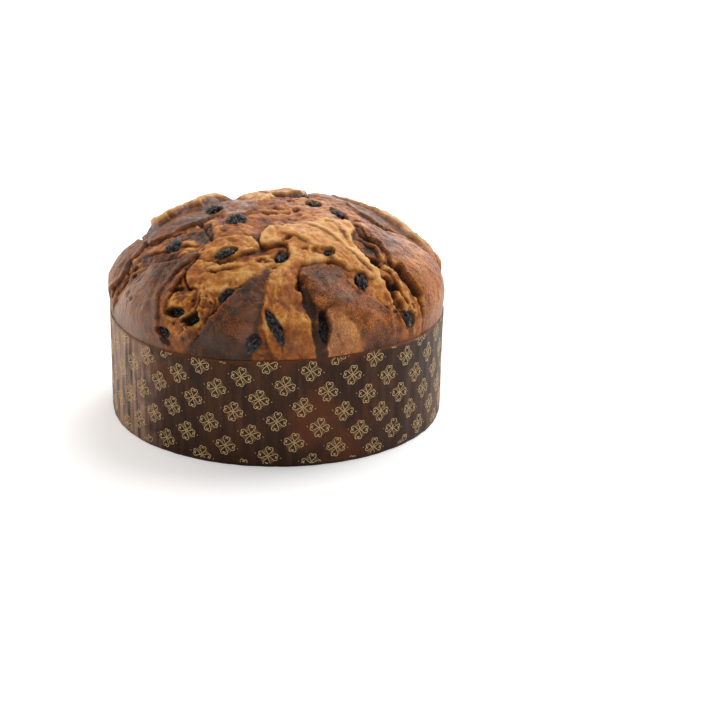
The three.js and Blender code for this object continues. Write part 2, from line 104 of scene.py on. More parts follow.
# Folds and petals, a later one over an earlier one. Grain is the way its dough was pulled, in degrees.
# Soft lists where its edge melts into what it lies on, each a place and a radius in hundredths.
# Blend is half the width of its change of colour, in millimetres.
PLATES = {
    "torn_back": {
        **TORN, "edge": 6, "undercut": 0, "curl": 0, "tone": 0.52, "grain": 15, "torn": 0.6,
        "outline": [(-24, 4), (-12, -14), (8, -15), (26, -6), (32, 12), (14, 28), (-12, 26)]},
    "torn_left": {
        **TORN, "level": 0.3, "edge": 3, "undercut": 0, "tone": 0.8, "grain": -12, "torn": 0.9,
        "outline": [(-24, -14), (-42, -12), (-58, -10), (-66, -30), (-44, -38), (-30, -36)]},
    "torn_low": {
        **TORN, "level": -0.7, "lip": 0, "edge": 3, "undercut": 0, "tone": 0.6, "grain": 60,
        "outline": [(-36, -46), (-47, -50), (-55, -60), (-60, -74), (-50, -92), (-38, -84), (-24, -70),
            (-20, -60)]},
    "torn_lump": {
        **TORN, "swell": 1.6, "tone": 0.62, "grain": 40,
        "soft": [((-33, -60), 9), ((-37, -54), 7)],
        "outline": [(-34, -53), (-41, -54), (-46, -58), (-44, -64), (-37, -66), (-31, -61)]},
    "torn_bank": {
        **TORN, "level": 0.8, "swell": 1.2, "tone": 0.6, "painted_sheen": 0.1, "grain": 55,
        "soft": [((-30, -56), 10), ((-34, -68), 8)],
        "outline": [(-31, -55), (-27, -60), (-27, -67), (-32, -73), (-40, -80), (-48, -90), (-54, -88),
            (-50, -78), (-43, -74), (-33, -69)]},
    "front_valley_floor": {
        **TORN, "level": -0.4, "lip": 0, "edge": 4, "undercut": 0, "tone": 0.96, "grain": -70,
        "torn": 0.3,
        "outline": [(7, -56), (11, -52), (16, -57), (21, -64), (25, -72), (28, -84), (32, -98),
            (20, -100), (14, -84), (9, -70)]},
    "strip": {
        **TORN, "level": 1.8, "swell": 1.8, "tone": 0.4, "grain": -80, "torn": 0.6,
        "soft": [((3, -46), 14), ((-3, -60), 6)],
        "outline": [(-6, -50), (2, -40), (9, -45), (8, -54), (9, -62), (11, -70), (14.5, -76), (17, -86),
            (20, -99), (2, -102), (-5, -86), (-6, -70)]},
    "upper_roll": {
        **TORN, "level": 1.8, "lip": 0.4, "swell": 1.8, "edge": 1.4, "undercut": 0.7, "tone": 0.5,
        "grain": 0, "torn": 0.6,
        "soft": [((-23, -27), 6), ((-9, -27), 7)],
        "outline": [(-24, -23), (-21, -19.5), (-16.4, -19), (-11.5, -20), (-8.5, -23), (-8, -28),
            (-13, -29.5), (-19, -30), (-23, -31.5)]},
    "pale_roll": {
        **TORN, "level": 1.8, "lip": 0.5, "swell": 2.0, "edge": 1.4, "undercut": 0.9, "tone": 0.34,
        "grain": 8, "torn": 0.7,
        "soft": [((-28, -42), 8), ((-12, -42), 8), ((-19, -46), 7)],
        "outline": [(-31, -36), (-27, -33.5), (-24.4, -31.5), (-20.8, -30), (-16.6, -29.4),
            (-11.8, -29.6), (-8, -31.5), (-6, -35), (-8, -38.5), (-11, -41), (-14.4, -43.4), (-19, -44.4),
            (-23.2, -44), (-26, -42), (-29, -39.5)]},
    "front_sheet": {
        **TORN, "level": 1.8, "swell": 1.8, "edge": 1.4, "tone": 0.34, "grain": 8,
        "torn": 0.7,
        "soft": [((-2, -47), 9), ((-12, -43), 8), ((-35, -50), 6), ((-27, -61), 8)],
        "outline": [(-36, -46), (-31, -41), (-27, -42.8), (-21.6, -46), (-15, -45), (-10, -43.5),
            (-3, -42.5), (1, -47), (0, -52), (-8, -55), (-17, -59.5), (-24, -61), (-28, -59.5),
            (-34, -55.5), (-37, -52)]},
    "dark_skin": {
        **TORN, "level": 0.4, "edge": 2.5, "undercut": 0, "tone": 0.76, "grain": -55, "torn": 0.75,
        "outline": [(27, -10), (30, -17), (31.2, -22), (37, -24.6), (42, -26.5), (45, -31), (47, -34.4),
            (43, -38), (38.2, -42.5), (34, -40), (30, -32), (27, -25), (26, -16)]},
    "amber_fold": {
        **TORN, "level": 0.4, "swell": 1.4, "tone": 0.48, "grain": -42, "torn": 0.8,
        "outline": [(38.5, -43), (41, -38.4), (46, -36), (49.5, -36.4), (53, -40), (59, -42), (64, -44),
            (78, -54), (84, -66), (70, -72), (56, -56), (51, -48), (44, -46)]},
    "lower_sheet": {
        **TORN, "level": 1.6, "tone": 0.4, "grain": -42, "torn": 0.5,
        "outline": [(21, -42), (29, -44), (36, -46), (46, -50), (52, -57), (40, -62), (33, -57),
            (27, -50)]},
    "heart": {
        **TORN, "level": 3.4, "swell": 1.6, "edge": 1.2, "undercut": 1.2, "curl": 0.9,
        "tone": 0.25, "grain": -42, "torn": 0.4,
        "soft": [((3, -46), 6), ((6, -52), 8), ((4, -18), 10), ((14, -12), 11), ((25, -11), 6),
            ((44, -52), 7)],
        "outline": [(-4.4, -36), (-5, -30), (-2, -23), (4.6, -19), (11, -16), (16, -12), (20, -13),
            (24, -12), (27.6, -13), (28.4, -19), (28, -25), (29.6, -29), (33, -35), (36, -41), (39, -44),
            (43, -47), (49, -51.5), (45, -51), (39.6, -49.4), (34.8, -48), (28.6, -45.8), (22.8, -43.2),
            (18, -44.5), (13, -47.5), (8, -50), (4, -52), (1, -50), (4, -45), (5, -38), (2, -34)]},
    "brown_top": {
        **SMOOTH, "level": 2.8, "lip": 0.4, "swell": 1.4, "edge": 2, "undercut": 0.8, "tone": 0.7,
        "grain": 60, "torn": 0.3,
        "outline": [(-23, 8), (-21, 16), (-14, 17), (-9, 10), (-7, 0), (-8, -6), (-12, -11), (-17, -10),
            (-21, -4)]},
    # Its pale tone is partly painted highlight on the knob's lit top.
    "knob_face": {
        **TORN, "level": 4.8, "edge": 2.5, "undercut": 0, "curl": 0, "tone": 0.14, "painted_sheen": 0.4,
        "grain": 80, "torn": 0.9,
        "soft": [((-4, 2), 8), ((-13, 24), 8)],
        "outline": [(-14, 18), (-12, 26), (2, 26), (0, 14), (-2, 5), (-6, -1), (-9, 5)]},
    "back_knob": {
        **TORN, "level": 5.2, "edge": 1.2, "undercut": 1.8, "curl": 1.0, "tone": 0.36, "painted_sheen": 0.4,
        "grain": 10, "torn": 0.8,
        "soft": [((-8, 36), 10), ((4, 38), 12)],
        "outline": [(-6, 22), (-2, 14), (3, 12), (7.5, 13), (10.5, 17), (12, 24), (11, 34), (6, 39),
            (-4, 38), (-9, 30)]},
    "far_left_petal": {
        **SMOOTH, "level": 2.5, "tone": 0.78, "painted_sheen": 0.35, "grain": 170,
        "outline": [(-56, -2), (-60, -10), (-66, -13), (-71, -17), (-77, -20), (-88, -14), (-106, -12),
            (-106, 14), (-92, 44), (-76, 36), (-63, 14)]},
    "back_left_petal": {
        **SMOOTH, "tone": 0.84, "painted_sheen": 0.15, "grain": 130,
        "soft": [((-24, 6), 10)],
        "outline": [(-25, -2), (-28, -9), (-33, -8.4), (-37, -10.4), (-41, -12.4), (-46, -12.4),
            (-51, -11), (-55, -7.4), (-57, 0), (-60, 16), (-70, 40), (-80, 70), (-50, 100), (-36, 62),
            (-24, 24)]},
    "back_left_swell": {
        **SMOOTH, "level": 6.4, "lip": 0, "swell": 0.5, "edge": 3, "undercut": 0, "curl": 0, "tone": 0.82,
        "painted_sheen": 0.15, "grain": 130,
        "soft": [((-56, 24), 16), ((-46, 14), 16), ((-30, 13), 16), ((-24, 28), 16), ((-40, 43), 18)],
        "outline": [(-56, 21), (-48, 14), (-36, 11), (-26, 13), (-22, 22), (-26, 36), (-38, 44),
            (-50, 42), (-57, 32)]},
    # The pale tone of these two back edges is partly painted highlight where they catch the light.
    "back_left_rim": {
        **TORN, "level": 8.0, "lip": 0.8, "swell": 0.8, "edge": 1.4, "undercut": 0.4, "tone": 0.14,
        "painted_sheen": 0.45, "grain": 200, "torn": 0.9,
        "soft": [((-45, 33), 14)],
        "outline": [(-54, 19), (-51, 13), (-47, 9), (-43, 11), (-40, 11.5), (-38, 17), (-39, 28),
            (-45, 30), (-52, 27)]},
    "back_left_edge": {
        **TORN, "level": 7.3, "lip": 0.8, "swell": 0.8, "edge": 1.4, "undercut": 0.4, "tone": 0.16,
        "painted_sheen": 0.45, "grain": 190, "torn": 0.9,
        "soft": [((-29, 33), 14), ((-21, 26), 9)],
        "outline": [(-37, 18), (-34, 12.5), (-30, 12), (-28, 15), (-25, 18), (-20, 21), (-22, 28),
            (-29, 31), (-37, 28)]},
    "left_flap": {
        **TORN, "level": 1.6, "lip": 0.8, "swell": 0.4, "edge": 0.7, "undercut": 1.4, "curl": 1.2,
        "tone": 0.68, "torn": 0.2, "grain": 235,
        "soft": [((-56, -72), 9)],
        "outline": [(-32, -38.5), (-36.4, -46), (-39.8, -48.4), (-43.6, -52), (-46.6, -56), (-49.4, -60),
            (-52, -67), (-56, -76), (-62, -76), (-58, -62), (-50, -48), (-40, -40)]},
    "left_petal": {
        **SMOOTH, "level": 2.5, "swell": 2.0, "lip": 1.0, "undercut": 1.6, "tone": 0.78, "painted_sheen": 0.4,
        "grain": 215,
        "soft": [((-70, -33), 13), ((-92, -38), 16)],
        "outline": [(-30, -37), (-36, -35.8), (-41, -34.8), (-47, -33.6), (-55, -32.8), (-64, -34.2),
            (-73, -34.6), (-84, -34.4), (-108, -40), (-90, -74), (-66, -82), (-60.8, -71.4),
            (-55.6, -61.8), (-50.8, -51.8), (-42.8, -45), (-34, -39.6)]},
    "front_petal": {
        **SMOOTH, "level": 2.6, "tone": 0.9, "painted_sheen": 0.05, "grain": 250, "blend": 1.4,
        "soft": [((-3, -60), 6), ((-5, -69), 7), ((-7, -78), 7), ((-9, -86), 7), ((-12, -98), 8)],
        "outline": [(-3, -52.2), (-7, -53.8), (-11, -56.6), (-20, -65), (-28.2, -72.2), (-36.6, -79.2),
            (-43.6, -84.4), (-58, -100), (-40, -112), (-16, -108), (-12.2, -92), (-9, -87), (-7.4, -81.2),
            (-6.4, -74.6), (-4.4, -63.8)]},
    "pale_lobe": {
        **SMOOTH, "level": 2.2, "lip": 0.8, "edge": 0.5, "tone": 0.34, "grain": -60,
        "soft": [((34, -72), 11), ((46, -88), 12)],
        "outline": [(20, -71), (23, -68.8), (29, -70.5), (40, -78), (50, -94), (32, -108), (27, -93),
            (24, -80)]},
    "front_right_petal": {
        **SMOOTH, "lip": 0.5, "tone": 0.74, "painted_sheen": 0.0, "grain": -55,
        "soft": [((34, -56), 9), ((26, -70), 8), ((12, -64), 5)],
        "outline": [(22.4, -45.2), (19.4, -44.6), (15, -46.4), (11.2, -49.4), (9.2, -53), (9.5, -60),
            (15, -68), (22, -71), (32, -72), (44, -82), (54, -96), (76, -84), (58, -68), (44, -58),
            (32.8, -57), (29, -52.6), (25.6, -48)]},
    "right_petal": {
        **SMOOTH, "level": 2.8, "swell": 2.4, "tone": 0.56, "painted_sheen": 0.0, "grain": -35,
        "soft": [((30, -5), 9)],
        "outline": [(28, -3), (30.4, -12.2), (33.5, -18), (38.8, -23.8), (43.2, -26.8), (46.6, -33),
            (51.6, -36), (59.8, -40.5), (68, -45), (80, -54), (98, -66), (108, -30), (106, 0), (90, -2),
            (82, 1), (74, 5), (64, 9), (54, 2), (45, -6), (37, -6)]},
    "back_right_petal": {
        **SMOOTH, "tone": 0.76, "painted_sheen": 0.2, "grain": 30,
        "outline": [(28, 14), (36, 4), (45, -3), (54, 4), (64, 12), (76, 8), (92, 3), (108, 2), (104, 46),
            (82, 78), (60, 80), (46, 58), (34, 38)]},
    "back_right_swell": {
        **SMOOTH, "level": 5.8, "lip": 0, "swell": 0.5, "edge": 3, "undercut": 0, "curl": 0, "tone": 0.7,
        "painted_sheen": 0.15, "grain": 30,
        "soft": [((14, 24), 16), ((30, 13), 18), ((54, 10), 18), ((78, 6), 18), ((86, 20), 18),
            ((60, 40), 20), ((34, 44), 20)],
        "outline": [(12, 22), (22, 15), (34, 12), (48, 11), (62, 9), (74, 6), (82, 8), (80, 20), (70, 32),
            (56, 42), (38, 46), (20, 40)]},
    # Its pale tone is partly painted highlight where the back edge catches the light.
    "back_right_rim": {
        **SMOOTH, "level": 6.7, "lip": 0.4, "swell": 0.6, "edge": 1.0, "undercut": 0.6, "curl": 0.4,
        "tone": 0.22, "painted_sheen": 0.65, "grain": -20, "torn": 0.8,
        "soft": [((26, 36), 14), ((44, 36), 16), ((64, 29), 14), ((76, 12), 14)],
        "outline": [(20, 25), (27, 21), (34, 15.5), (41, 12), (46, 9.5), (52, 10.5), (58, 8), (66, 7),
            (72, 6), (76, 9), (70, 18), (60, 25), (46, 30), (32, 32), (22, 31)]},
    "back_petal": {
        **SMOOTH, "level": 3.0, "lip": 1.0, "swell": 1.8, "tone": 0.82, "painted_sheen": 0.25, "grain": 90,
        "outline": [(-10, 38), (6, 32), (22, 44), (34, 68), (42, 102), (10, 112), (-32, 108), (-36, 84),
            (-24, 58)]},
}

# Edges of overlapping sheets of pulled dough: each falls steeply to the right of its line.
# Reach is how far back it rises, in millimetres.
FOLDS = {
    "brown_fold": {"reach": 4, "height": 2.0, "tone": 0.42,
        "line": [(-25, -44), (-18.4, -43.2), (-13.8, -41.8), (-10, -39.6), (-5, -36.4)]},
    "front_fold": {"reach": 3, "height": 0.9, "tone": 0.24,
        "line": [(-30, -47.5), (-25.8, -48.4), (-21.6, -48.4), (-17, -47.8), (-11.4, -47.2), (-5, -46)]},
    "crumpled_fold": {"reach": 4, "height": 1.8, "tone": 0.8,
        "line": [(28.6, -22), (33, -25), (37.8, -27), (40.8, -31.8), (43, -36)]},
    "crumpled_fold_back": {"reach": 3.5, "height": 1.6, "tone": 0.74,
        "line": [(29, -15), (33, -19), (38, -22.5), (43, -25)]},
    "right_fold_edge": {"reach": 5, "height": 1.6, "tone": 0.36,
        "line": [(39, -40), (44, -39.6), (48, -41.5), (52, -45), (58, -49), (70, -57)]},
    "torn_left_fold": {"reach": 5, "height": 1.4, "tone": 0.6,
        "line": [(-58, -18), (-50, -24), (-42, -26), (-34, -28), (-28, -32)]},
    "far_left_fold": {"reach": 5, "height": 1.4, "tone": 0.5,
        "line": [(-90, -26), (-78, -28), (-68, -25), (-60, -21)]},
    "shoulder_fold": {"reach": 5, "height": 1.6, "tone": 0.52,
        "line": [(-26, -12), (-24, -20), (-23, -29)]},
    "heart_fold": {"reach": 5, "height": 0.7, "tone": 0.14,
        "line": [(6, -19), (16, -24), (25, -32), (35, -43), (42, -49)]},
    "heart_fold_front": {"reach": 4, "height": 0.6, "tone": 0.2,
        "line": [(-1, -27), (8, -33), (18, -40), (26, -44)]},
    "heart_fold_back": {"reach": 4, "height": 0.6, "tone": 0.16,
        "line": [(17, -14), (24, -22), (29, -31)]},
    "bank_fold": {"reach": 5, "height": 1.4, "tone": 0.45,
        "line": [(-30, -58), (-33, -66), (-40, -72), (-47, -76)]},
}

# Gaps and cracks: a line along each, its width and depth in millimetres
GROOVES = {
    "front_valley": {"width": 8, "depth": 1.6,
        "line": [(10, -57), (11.5, -65), (14, -76), (20, -88), (24, -96)]},
    "heart_gap": {"width": 4, "depth": 5, "line": [(32, -33), (36.6, -37), (41, -38.8)]},
    "right_gap": {"width": 6, "depth": 7,
        "line": [(49.6, -34.4), (52.2, -36.6), (56, -38.6), (60, -40.4), (64, -42.4)]},
    "right_low_gap": {"width": 3.4, "depth": 4, "line": [(44, -45.4), (47.8, -46), (51.8, -47.2)]},
    "right_valley": {"width": 7, "depth": 3, "line": [(48, -50), (58, -56), (70, -63), (82, -71)]},
    "left_valley": {"width": 5, "depth": 2, "line": [(-97, -30), (-84, -28), (-72, -24), (-62, -24)]},
    "back_left_undercut": {"width": 3, "depth": 2.4,
        "line": [(-57, -5), (-51, -13), (-44, -15), (-36, -13), (-30, -11)]},
    "shoulder_crack": {"width": 2.4, "depth": 2.4,
        "line": [(-29, -9), (-28, -15), (-26, -23), (-24.5, -30)]},
    "lower_fold_crack": {"width": 1.6, "depth": 2.5, "line": [(-36, -44), (-36.5, -50), (-35.5, -56)]},
    "right_crack": {"width": 1.4, "depth": 2.6,
        "line": [(30, -9), (34, -7.5), (38, -5.5), (45, -1.5), (52, 1), (59, 9), (64.6, 10), (69.8, 7.8),
            (74, 6), (84, 2), (100, -1)]},
    "front_petal_slit": {"width": 1.8, "depth": 3, "line": [(-38, -80.5), (-41, -83), (-45, -86)]},
    "heart_slit": {"width": 3.4, "depth": 4.5, "line": [(21, -1), (24, -3), (25.5, -8), (26, -11)]},
    "long_raisin_slit": {"width": 1.4, "depth": 3, "line": [(2, -90), (3, -96)]},
    "pale_lobe_crack": {"width": 1.4, "depth": 2, "line": [(29, -82), (31, -85), (33, -87)]},
    "back_right_valley": {"width": 8, "depth": 4, "line": [(20, 26), (30, 46), (42, 68), (52, 88)]},
    "back_left_valley": {"width": 8, "depth": 4, "line": [(-18, 26), (-27, 48), (-40, 70), (-48, 90)]},
    "far_left_valley": {"width": 6, "depth": 3, "line": [(-62, 22), (-74, 48), (-82, 62)]},
}

# Burst bubbles: middle, half length and half width in millimetres, turn in degrees, depth
PITS = [
    ((-66, -16), (8, 4.5), 70, 7), ((-83, -20), (4.5, 3), 10, 4), ((-57, -71), (3.5, 2.2), -50, 4),
    ((-40, -70), (7.5, 2.8), 12, 5), ((-46, -64), (6.5, 4), -35, 4.5), ((-59, -77), (6, 3), -50, 4.5),
    ((38, -37), (5, 3.5), 40, 5), ((48, -47), (6, 2.2), -30, 4), ((22, -80), (13, 3.4), -68, 5),
    ((9, -60), (5, 3), 70, 3), ((-42, -53), (5, 2.4), 0, 2.5), ((16, -39), (5, 3), 20, 2.2),
    ((2, -43), (6, 4), 80, 3), ((-25, -50), (1.8, 1.1), 20, 2.5), ((10.5, -40), (1.8, 1.4), 0, 2.5),
    ((4, -33), (2.8, 1.6), 10, 2), ((19, -17), (2.6, 2), 0, 2), ((-6, -46), (3.2, 1.1), 10, 2),
    ((5, 3.5), (2.4, 1.4), 0, 2.5), ((-2.6, -10.5), (3.4, 1.7), 10, 2.8), ((1, -6), (3, 1.5), -20, 2.5),
    ((6.6, -6.8), (3, 2), 60, 2.6), ((3, -10), (2, 1.4), 0, 2), ((-63, -29), (2.4, 1.6), 60, 2),
    ((-67, -41), (2.2, 1.6), 30, 0.8), ((-65, -45), (2.6, 1.6), 0, 0.9), ((46, -9), (2.6, 1.8), 0, 1),
    ((-57, -13), (3, 1), 60, 2), ((39, -24), (5, 2), -60, 2), ((35, -18), (4, 1.6), -50, 1.6),
]

# Smooth changes of colour on the petals, some of them stains, some painted highlights and painted sheen:
# middle, radius in hundredths, change of tone and of painted sheen
STAINS_AND_HIGHLIGHTS = [
    ((-76, -50), 24, -0.08, 0.35), ((-43, -40), 18, 0.12, -0.3), ((-60, -60), 10, 0.05, 0.1),
    ((-15, -84), 7, -0.16, 0.2), ((-10, -74), 5, -0.08, 0.12), ((-32, -84), 16, 0.06, 0.0),
    ((-12, -60), 9, 0.05, 0.0), ((44, -14), 13, 0.1, 0.0), ((60, -18), 12, -0.06, 0.0),
    ((82, -30), 26, -0.1, 0.0), ((47, -9), 3, -0.25, 0.0), ((55, -7), 3, -0.2, 0.0),
    ((7, -88), 15, 0.2, 0.08), ((-50, -74), 12, 0.1, 0.1), ((-1, -32), 5, -0.12, 0.0),
    ((19, -15), 5, -0.16, 0.0), ((31, -36), 7, -0.1, 0.0), ((20, -27), 10, -0.06, 0.0),
    ((8, -36), 7, 0.06, 0.0), ((4, -68), 9, 0.04, 0.08), ((-70, -8), 12, 0.06, -0.1),
    ((-90, 0), 16, -0.1, 0.25), ((-52, 2), 14, 0.06, 0.1), ((-36, 2), 8, -0.14, 0.1),
    ((16, -52), 9, 0.08, -0.05), ((26, -60), 12, -0.06, 0.1), ((40, -72), 14, -0.12, 0.1),
    ((0, 0), 9, 0.1, 0.0), ((14, -6), 8, -0.1, 0.0), ((-6, -16), 8, 0.08, 0.0),
    ((-10, -52), 10, -0.06, 0.0),
]

# In the order of the nodes' names: the turn of each raisin from across, in degrees, and how much deeper
# than its solid it shows, in millimetres
RAISINS = (
    (-60, -0.4), (60, 0.4), (25, 0.8), (40, 1.0), (75, 1.6), (60, 2.6), (-66, 0.6), (65, 1.2), (-68, 3.6),
    (-35, 2.0), (5, 2.0), (-50, 2.0), (-70, -0.8), (80, 1.4), (-70, 1.2), (-75, 3.4), (-35, 1.2),
    (60, 0.8), (20, 1.2), (-50, 0.8), (30, 1.2), (80, 1.2), (15, 1.4), (-20, 1.0), (45, 0.8),
)

# The paper case, in millimetres and degrees round: the rim's bends, the side where a painted reflection
# makes the glaze look paler, and the glued lap at the back
RIM_BENDS = ({"at": -130.0, "reach": 26.0, "rise": -2.4}, {"at": 178.0, "reach": 17.0, "rise": 5.0})
RIM_WAVE = 0.4
PAINTED_GLAZE_SHEEN = {"at": -151.0, "reach": 24.0}
LAP = {"at": 90.0, "reach": 6.0, "proud": 0.4}
# Where round the rim the painted orange-brown glow of the brightly lit side lies, in degrees
WARM_GLOW_AT = 180.0

# The case's wall, in millimetres: how far inside the solid's radius it runs, how wide and how long its
# creases are, how much it bulges, the most it may dent, and how far and to what share its foot is drawn
# in. At the rim, the thickness of paper that shows, and how much lower its inner edge is.
WALL_INSET = 0.75
CREASE_WIDTH = 9.0
CREASE_LENGTH = 55.0
SLACK = 0.2
WALL_DENT = 0.25
FOOT_ROUND = 0.3
FOOT_SHARE = 0.985
EDGE_THICKNESS = 0.55
EDGE_DROP = 0.05

# The print: the steps between clovers along two rows, as distance round and height, the height of the
# first clover, their turn in degrees, and how far the ink keeps from rim, foot and lap
CLOVER_ROWS = ((14.9, 8.2), (10.0, -13.1))
CLOVER_HEIGHT = 28.1
CLOVER_TURN = -11.0
CLOVER_COUNT = 60
CLOVER_MARGIN = 8
INK_BELOW_RIM = 0.7
INK_ABOVE_FOOT = 1.8
INK_BESIDE_LAP = 0.5
INK_PROUD = 0.1
INK_SUNK = 0.03

# Steps of the meshes
CRUST_RINGS = 165
BREAD_SIDE_STEPS = 5
BREAD_TAPER = 0.99
CASE_STEPS = 480
WALL_ROWS = 26
RAISIN_SUBDIVISIONS = 5

# Colours of the crust, from torn dough to its burnt edges
PALE, GOLD, AMBER = (0.82, 0.43, 0.12), (0.64, 0.24, 0.04), (0.44, 0.13, 0.018)
BROWN, UMBER, BURNT = (0.26, 0.072, 0.012), (0.118, 0.036, 0.011), (0.046, 0.021, 0.01)
CRUST_STOPS = (0.0, 0.22, 0.42, 0.62, 0.84, 1.0)

# Grain of the materials: how the fibres of torn dough and the paper's streaks are drawn out, per axis
GRAIN_GROUP = "baked grain"
DIMPLE_SIZE = 330.0
FIBRE_SHAPE = (0.35, 1.6, 1.0)
STREAK_SHAPE = (1.0, 1.0, 0.1)
FLECK_DARK, FLECK_LIGHT = (0.55, 0.55, 0.55), (1.45, 1.45, 1.45)
WRINKLES = {"wide": 1.7, "fine": 0.9}

# Finishes: the sizes of the grain and of the noises, per metre, how strongly each one shows, the gloss,
# and the strength and reach of the embossing
CRUST_FINISH = {
    "grain": (1200.0, 90.0), "speckle": 1.15, "patches": 0.4, "fibre": 0.6, "fibre_relief": 2.6,
    "sheen_speckle": 1.2, "calmer": -1.4, "calmest": 0.36, "fainter": -0.5, "dark": (0.7, 0.95),
    "roughness": 0.31, "duller": 0.5, "gloss": 0.22, "emboss": (0.7, 0.0006),
}
RAISIN_FINISH = {"grain": (1500.0, 300.0), "roughness": 0.24, "gloss": 0.5, "emboss": (0.8, 0.0005)}
PAPER_FINISH = {
    "streaks": 240.0, "clouds": 26.0, "fleck": 900.0, "streak_light": (0.35, 0.75),
    "sheen_streaks": (0.3, 0.62), "patch": (0.5, 0.68), "foot": 0.8, "patches": 0.8, "warm_glow": 0.85,
    "lit": 0.85, "roughness": 0.22, "duller": 0.4, "warm_duller": 0.5, "gloss": 0.15,
    "emboss": (0.18, 0.0006),
}
INK_FINISH = {"wear": 400.0, "roughness": 0.4, "gloss": 0.3}

# Relief of the crust, in millimetres. Near is how far from a line its places are looked for, in hundredths.
NEAR = {"plate": 9, "fold": 9, "groove": 8}
SOFT_EDGE = 7.0
LIP_REACH = 3
FURROW = {"at": 4.5, "reach": 2.2}
UNDERCUT_REACH = 1.7
CURL_REACH = 1.8
BRIGHT_EDGE = 1.3
BLEND = {"hard": 0.5, "plain": 8.0}
FADE_PATCH = {"plate": 13, "fold": 12, "groove": 8}
CREASE = {"at": 1.3, "reach": 0.7}
BARE_CRUST = {"tone": 0.62, "torn": 0.6}
ROUNDS = {"fine": 6, "wide": 80}

# Sizes of the crust's patterns, in millimetres: along and across the way the dough was pulled, or all round
PULLED = {"web": (26, 12), "thin": (11, 5), "fibre": (7, 1.8), "holes": (10, 6), "pores": (3.8, 2.6)}
ROUND = {"lumps": 12, "grit": 2.6, "patches": 16, "mottle": 4.5, "drift": 18, "bend": 5}

# How much each pattern adds to torn dough and to smooth skin: to the height in millimetres, then to the
# tone, the painted sheen and the painted shade
DOUGH = {"web": 0.9, "thin_crests": 0.35, "fibre": 0.1, "lumps": 1.0, "net": 0.7, "fine_net": 0.22}
DOUGH_GRIT = 0.45
BURST = {"holes": 1.8, "pores": 0.6}
SKIN = {"lumps": 0.8, "fibre": 0.06, "thin": 0.2, "fine_net": 0.12, "grit": 0.24, "pores": -0.3}
DOUGH_TONE = {"all": 0.08, "web": -0.16, "thin": -0.05, "fibre": -0.06, "patches": -0.4, "net": -0.12}
BURST_TONE = {"holes": 0.25, "pores": 0.15, "mottle": -0.27}
SKIN_TONE = {"patches": 0.15, "thin": -0.05, "fibre": 0.05, "mottle": -0.16}
SKIN_PAINTED_SHEEN = 0.24
BURST_PAINTED_SHADE = {"holes": 0.35, "pores": 0.2}

# How far out, in hundredths, the crust is held down by the paper, rises to its shoulder and darkens
HELD = (70, 96)
SHOULDER_RISE = (60, 90)
RIM_DARK = (84, 99)

# Round a raisin, in shares of its half size: the hollow under it, the collar of dough and the crevice.
# One that is set in by the millimetres of deep lies in shade.
HOLLOW, COLLAR = (0.8, 1.02), (1.05, 1.7)
CREVICE = {"at": 0.96, "reach": 0.14}
DEEP = (2.0, 3.5)

# Noise: how much fainter each finer octave is and how much finer, and in the net of burst bubbles the
# radius of a pit and the width of a strand, in cells
FAINTER, FINER = 0.9, 2.0
PIT_RADIUS, STRAND = 0.34, 0.12

# The photograph's frame, in its pixels: its side, the lens's focal length and where the view is centred
PICTURE = 720
FOCAL = 1333
CENTRE = (276.5, 305.5)
SENSOR = 36.0
AIM_HEIGHT = 0.063

# Soft lights: place and aim in metres, share of the side or front light's power, size and colour
LIGHTS = {
    "left": {"at": (-0.95, 0.55, 0.35), "aim": 0.05, "power": "side", "share": 2.1, "size": 1.0,
             "colour": (1.0, 0.88, 0.76)},
    "right": {"at": (0.95, 0.35, 0.45), "aim": 0.08, "power": "side", "share": 1.0, "size": 0.8},
    "back": {"at": (0.25, 1.2, 0.55), "aim": 0.1, "power": "side", "share": 1.7, "size": 1.0},
    "front": {"at": (0.1, -1.3, 0.9), "aim": 0.08, "power": "fill", "share": 1.0, "size": 1.0},
}
SKY_WAY = (-0.45, -0.5, -1.0)
SKY_ANGLE = 38
FLOOR_HALF = 6
FLOOR_GAP = 0.0002


# Curves and distances


def smooth_line(points, closed, steps=6):
    """Catmull-Rom curve through points, as an array."""
    points = np.array(points, float)
    count = len(points)
    line = []

    def pick(i):
        return points[i % count if closed else min(max(i, 0), count - 1)]

    for i in range(count if closed else count - 1):
        a, b, c, d = (pick(i + k) for k in (-1, 0, 1, 2))
        for k in range(steps):
            t = k / steps
            line.append(b + 0.5 * t * (c - a + t * (2 * a - 5 * b + 4 * c - d + t * (3 * (b - c) + d - a))))
    line.append(line[0] if closed else points[-1])
    return np.array(line)


def nearest(places, line):
    """Distance to a line in millimetres, the step to it, its way there and how far along it that is."""
    start, step = line[:-1], np.diff(line, axis=0)
    from_start = places[:, None, :] - start[None]
    length = np.maximum((step ** 2).sum(1), 1e-9)
    along = np.clip((from_start * step).sum(2) / length, 0, 1)
    offset = along[..., None] * step - from_start
    square = (offset ** 2).sum(2)
    best = square.argmin(1)
    rows = np.arange(len(places))
    share = (best + along[rows, best]) / len(step)
    return np.sqrt(square[rows, best]) * HUNDREDTH, offset[rows, best] * HUNDREDTH, step[best], share


def is_inside(places, outline):
    """Whether each place is inside a closed outline."""
    inside = np.zeros(len(places), bool)
    x, y = places[:, 0], places[:, 1]
    for a, b in zip(outline[:-1], outline[1:]):
        straddles = (a[1] > y) != (b[1] > y)
        if straddles.any():
            reach = a[0] + (b[0] - a[0]) * (y - a[1]) / (b[1] - a[1] if b[1] != a[1] else 1)
            inside ^= straddles & (x < reach)
    return inside


def ease(low, high, x):
    """Smooth step from 0 at low to 1 at high."""
    t = np.clip((x - low) / (high - low), 0, 1)
    return t * t * (3 - 2 * t)


def mix(a, b, share):
    """A value between a and b."""
    return a + (b - a) * share


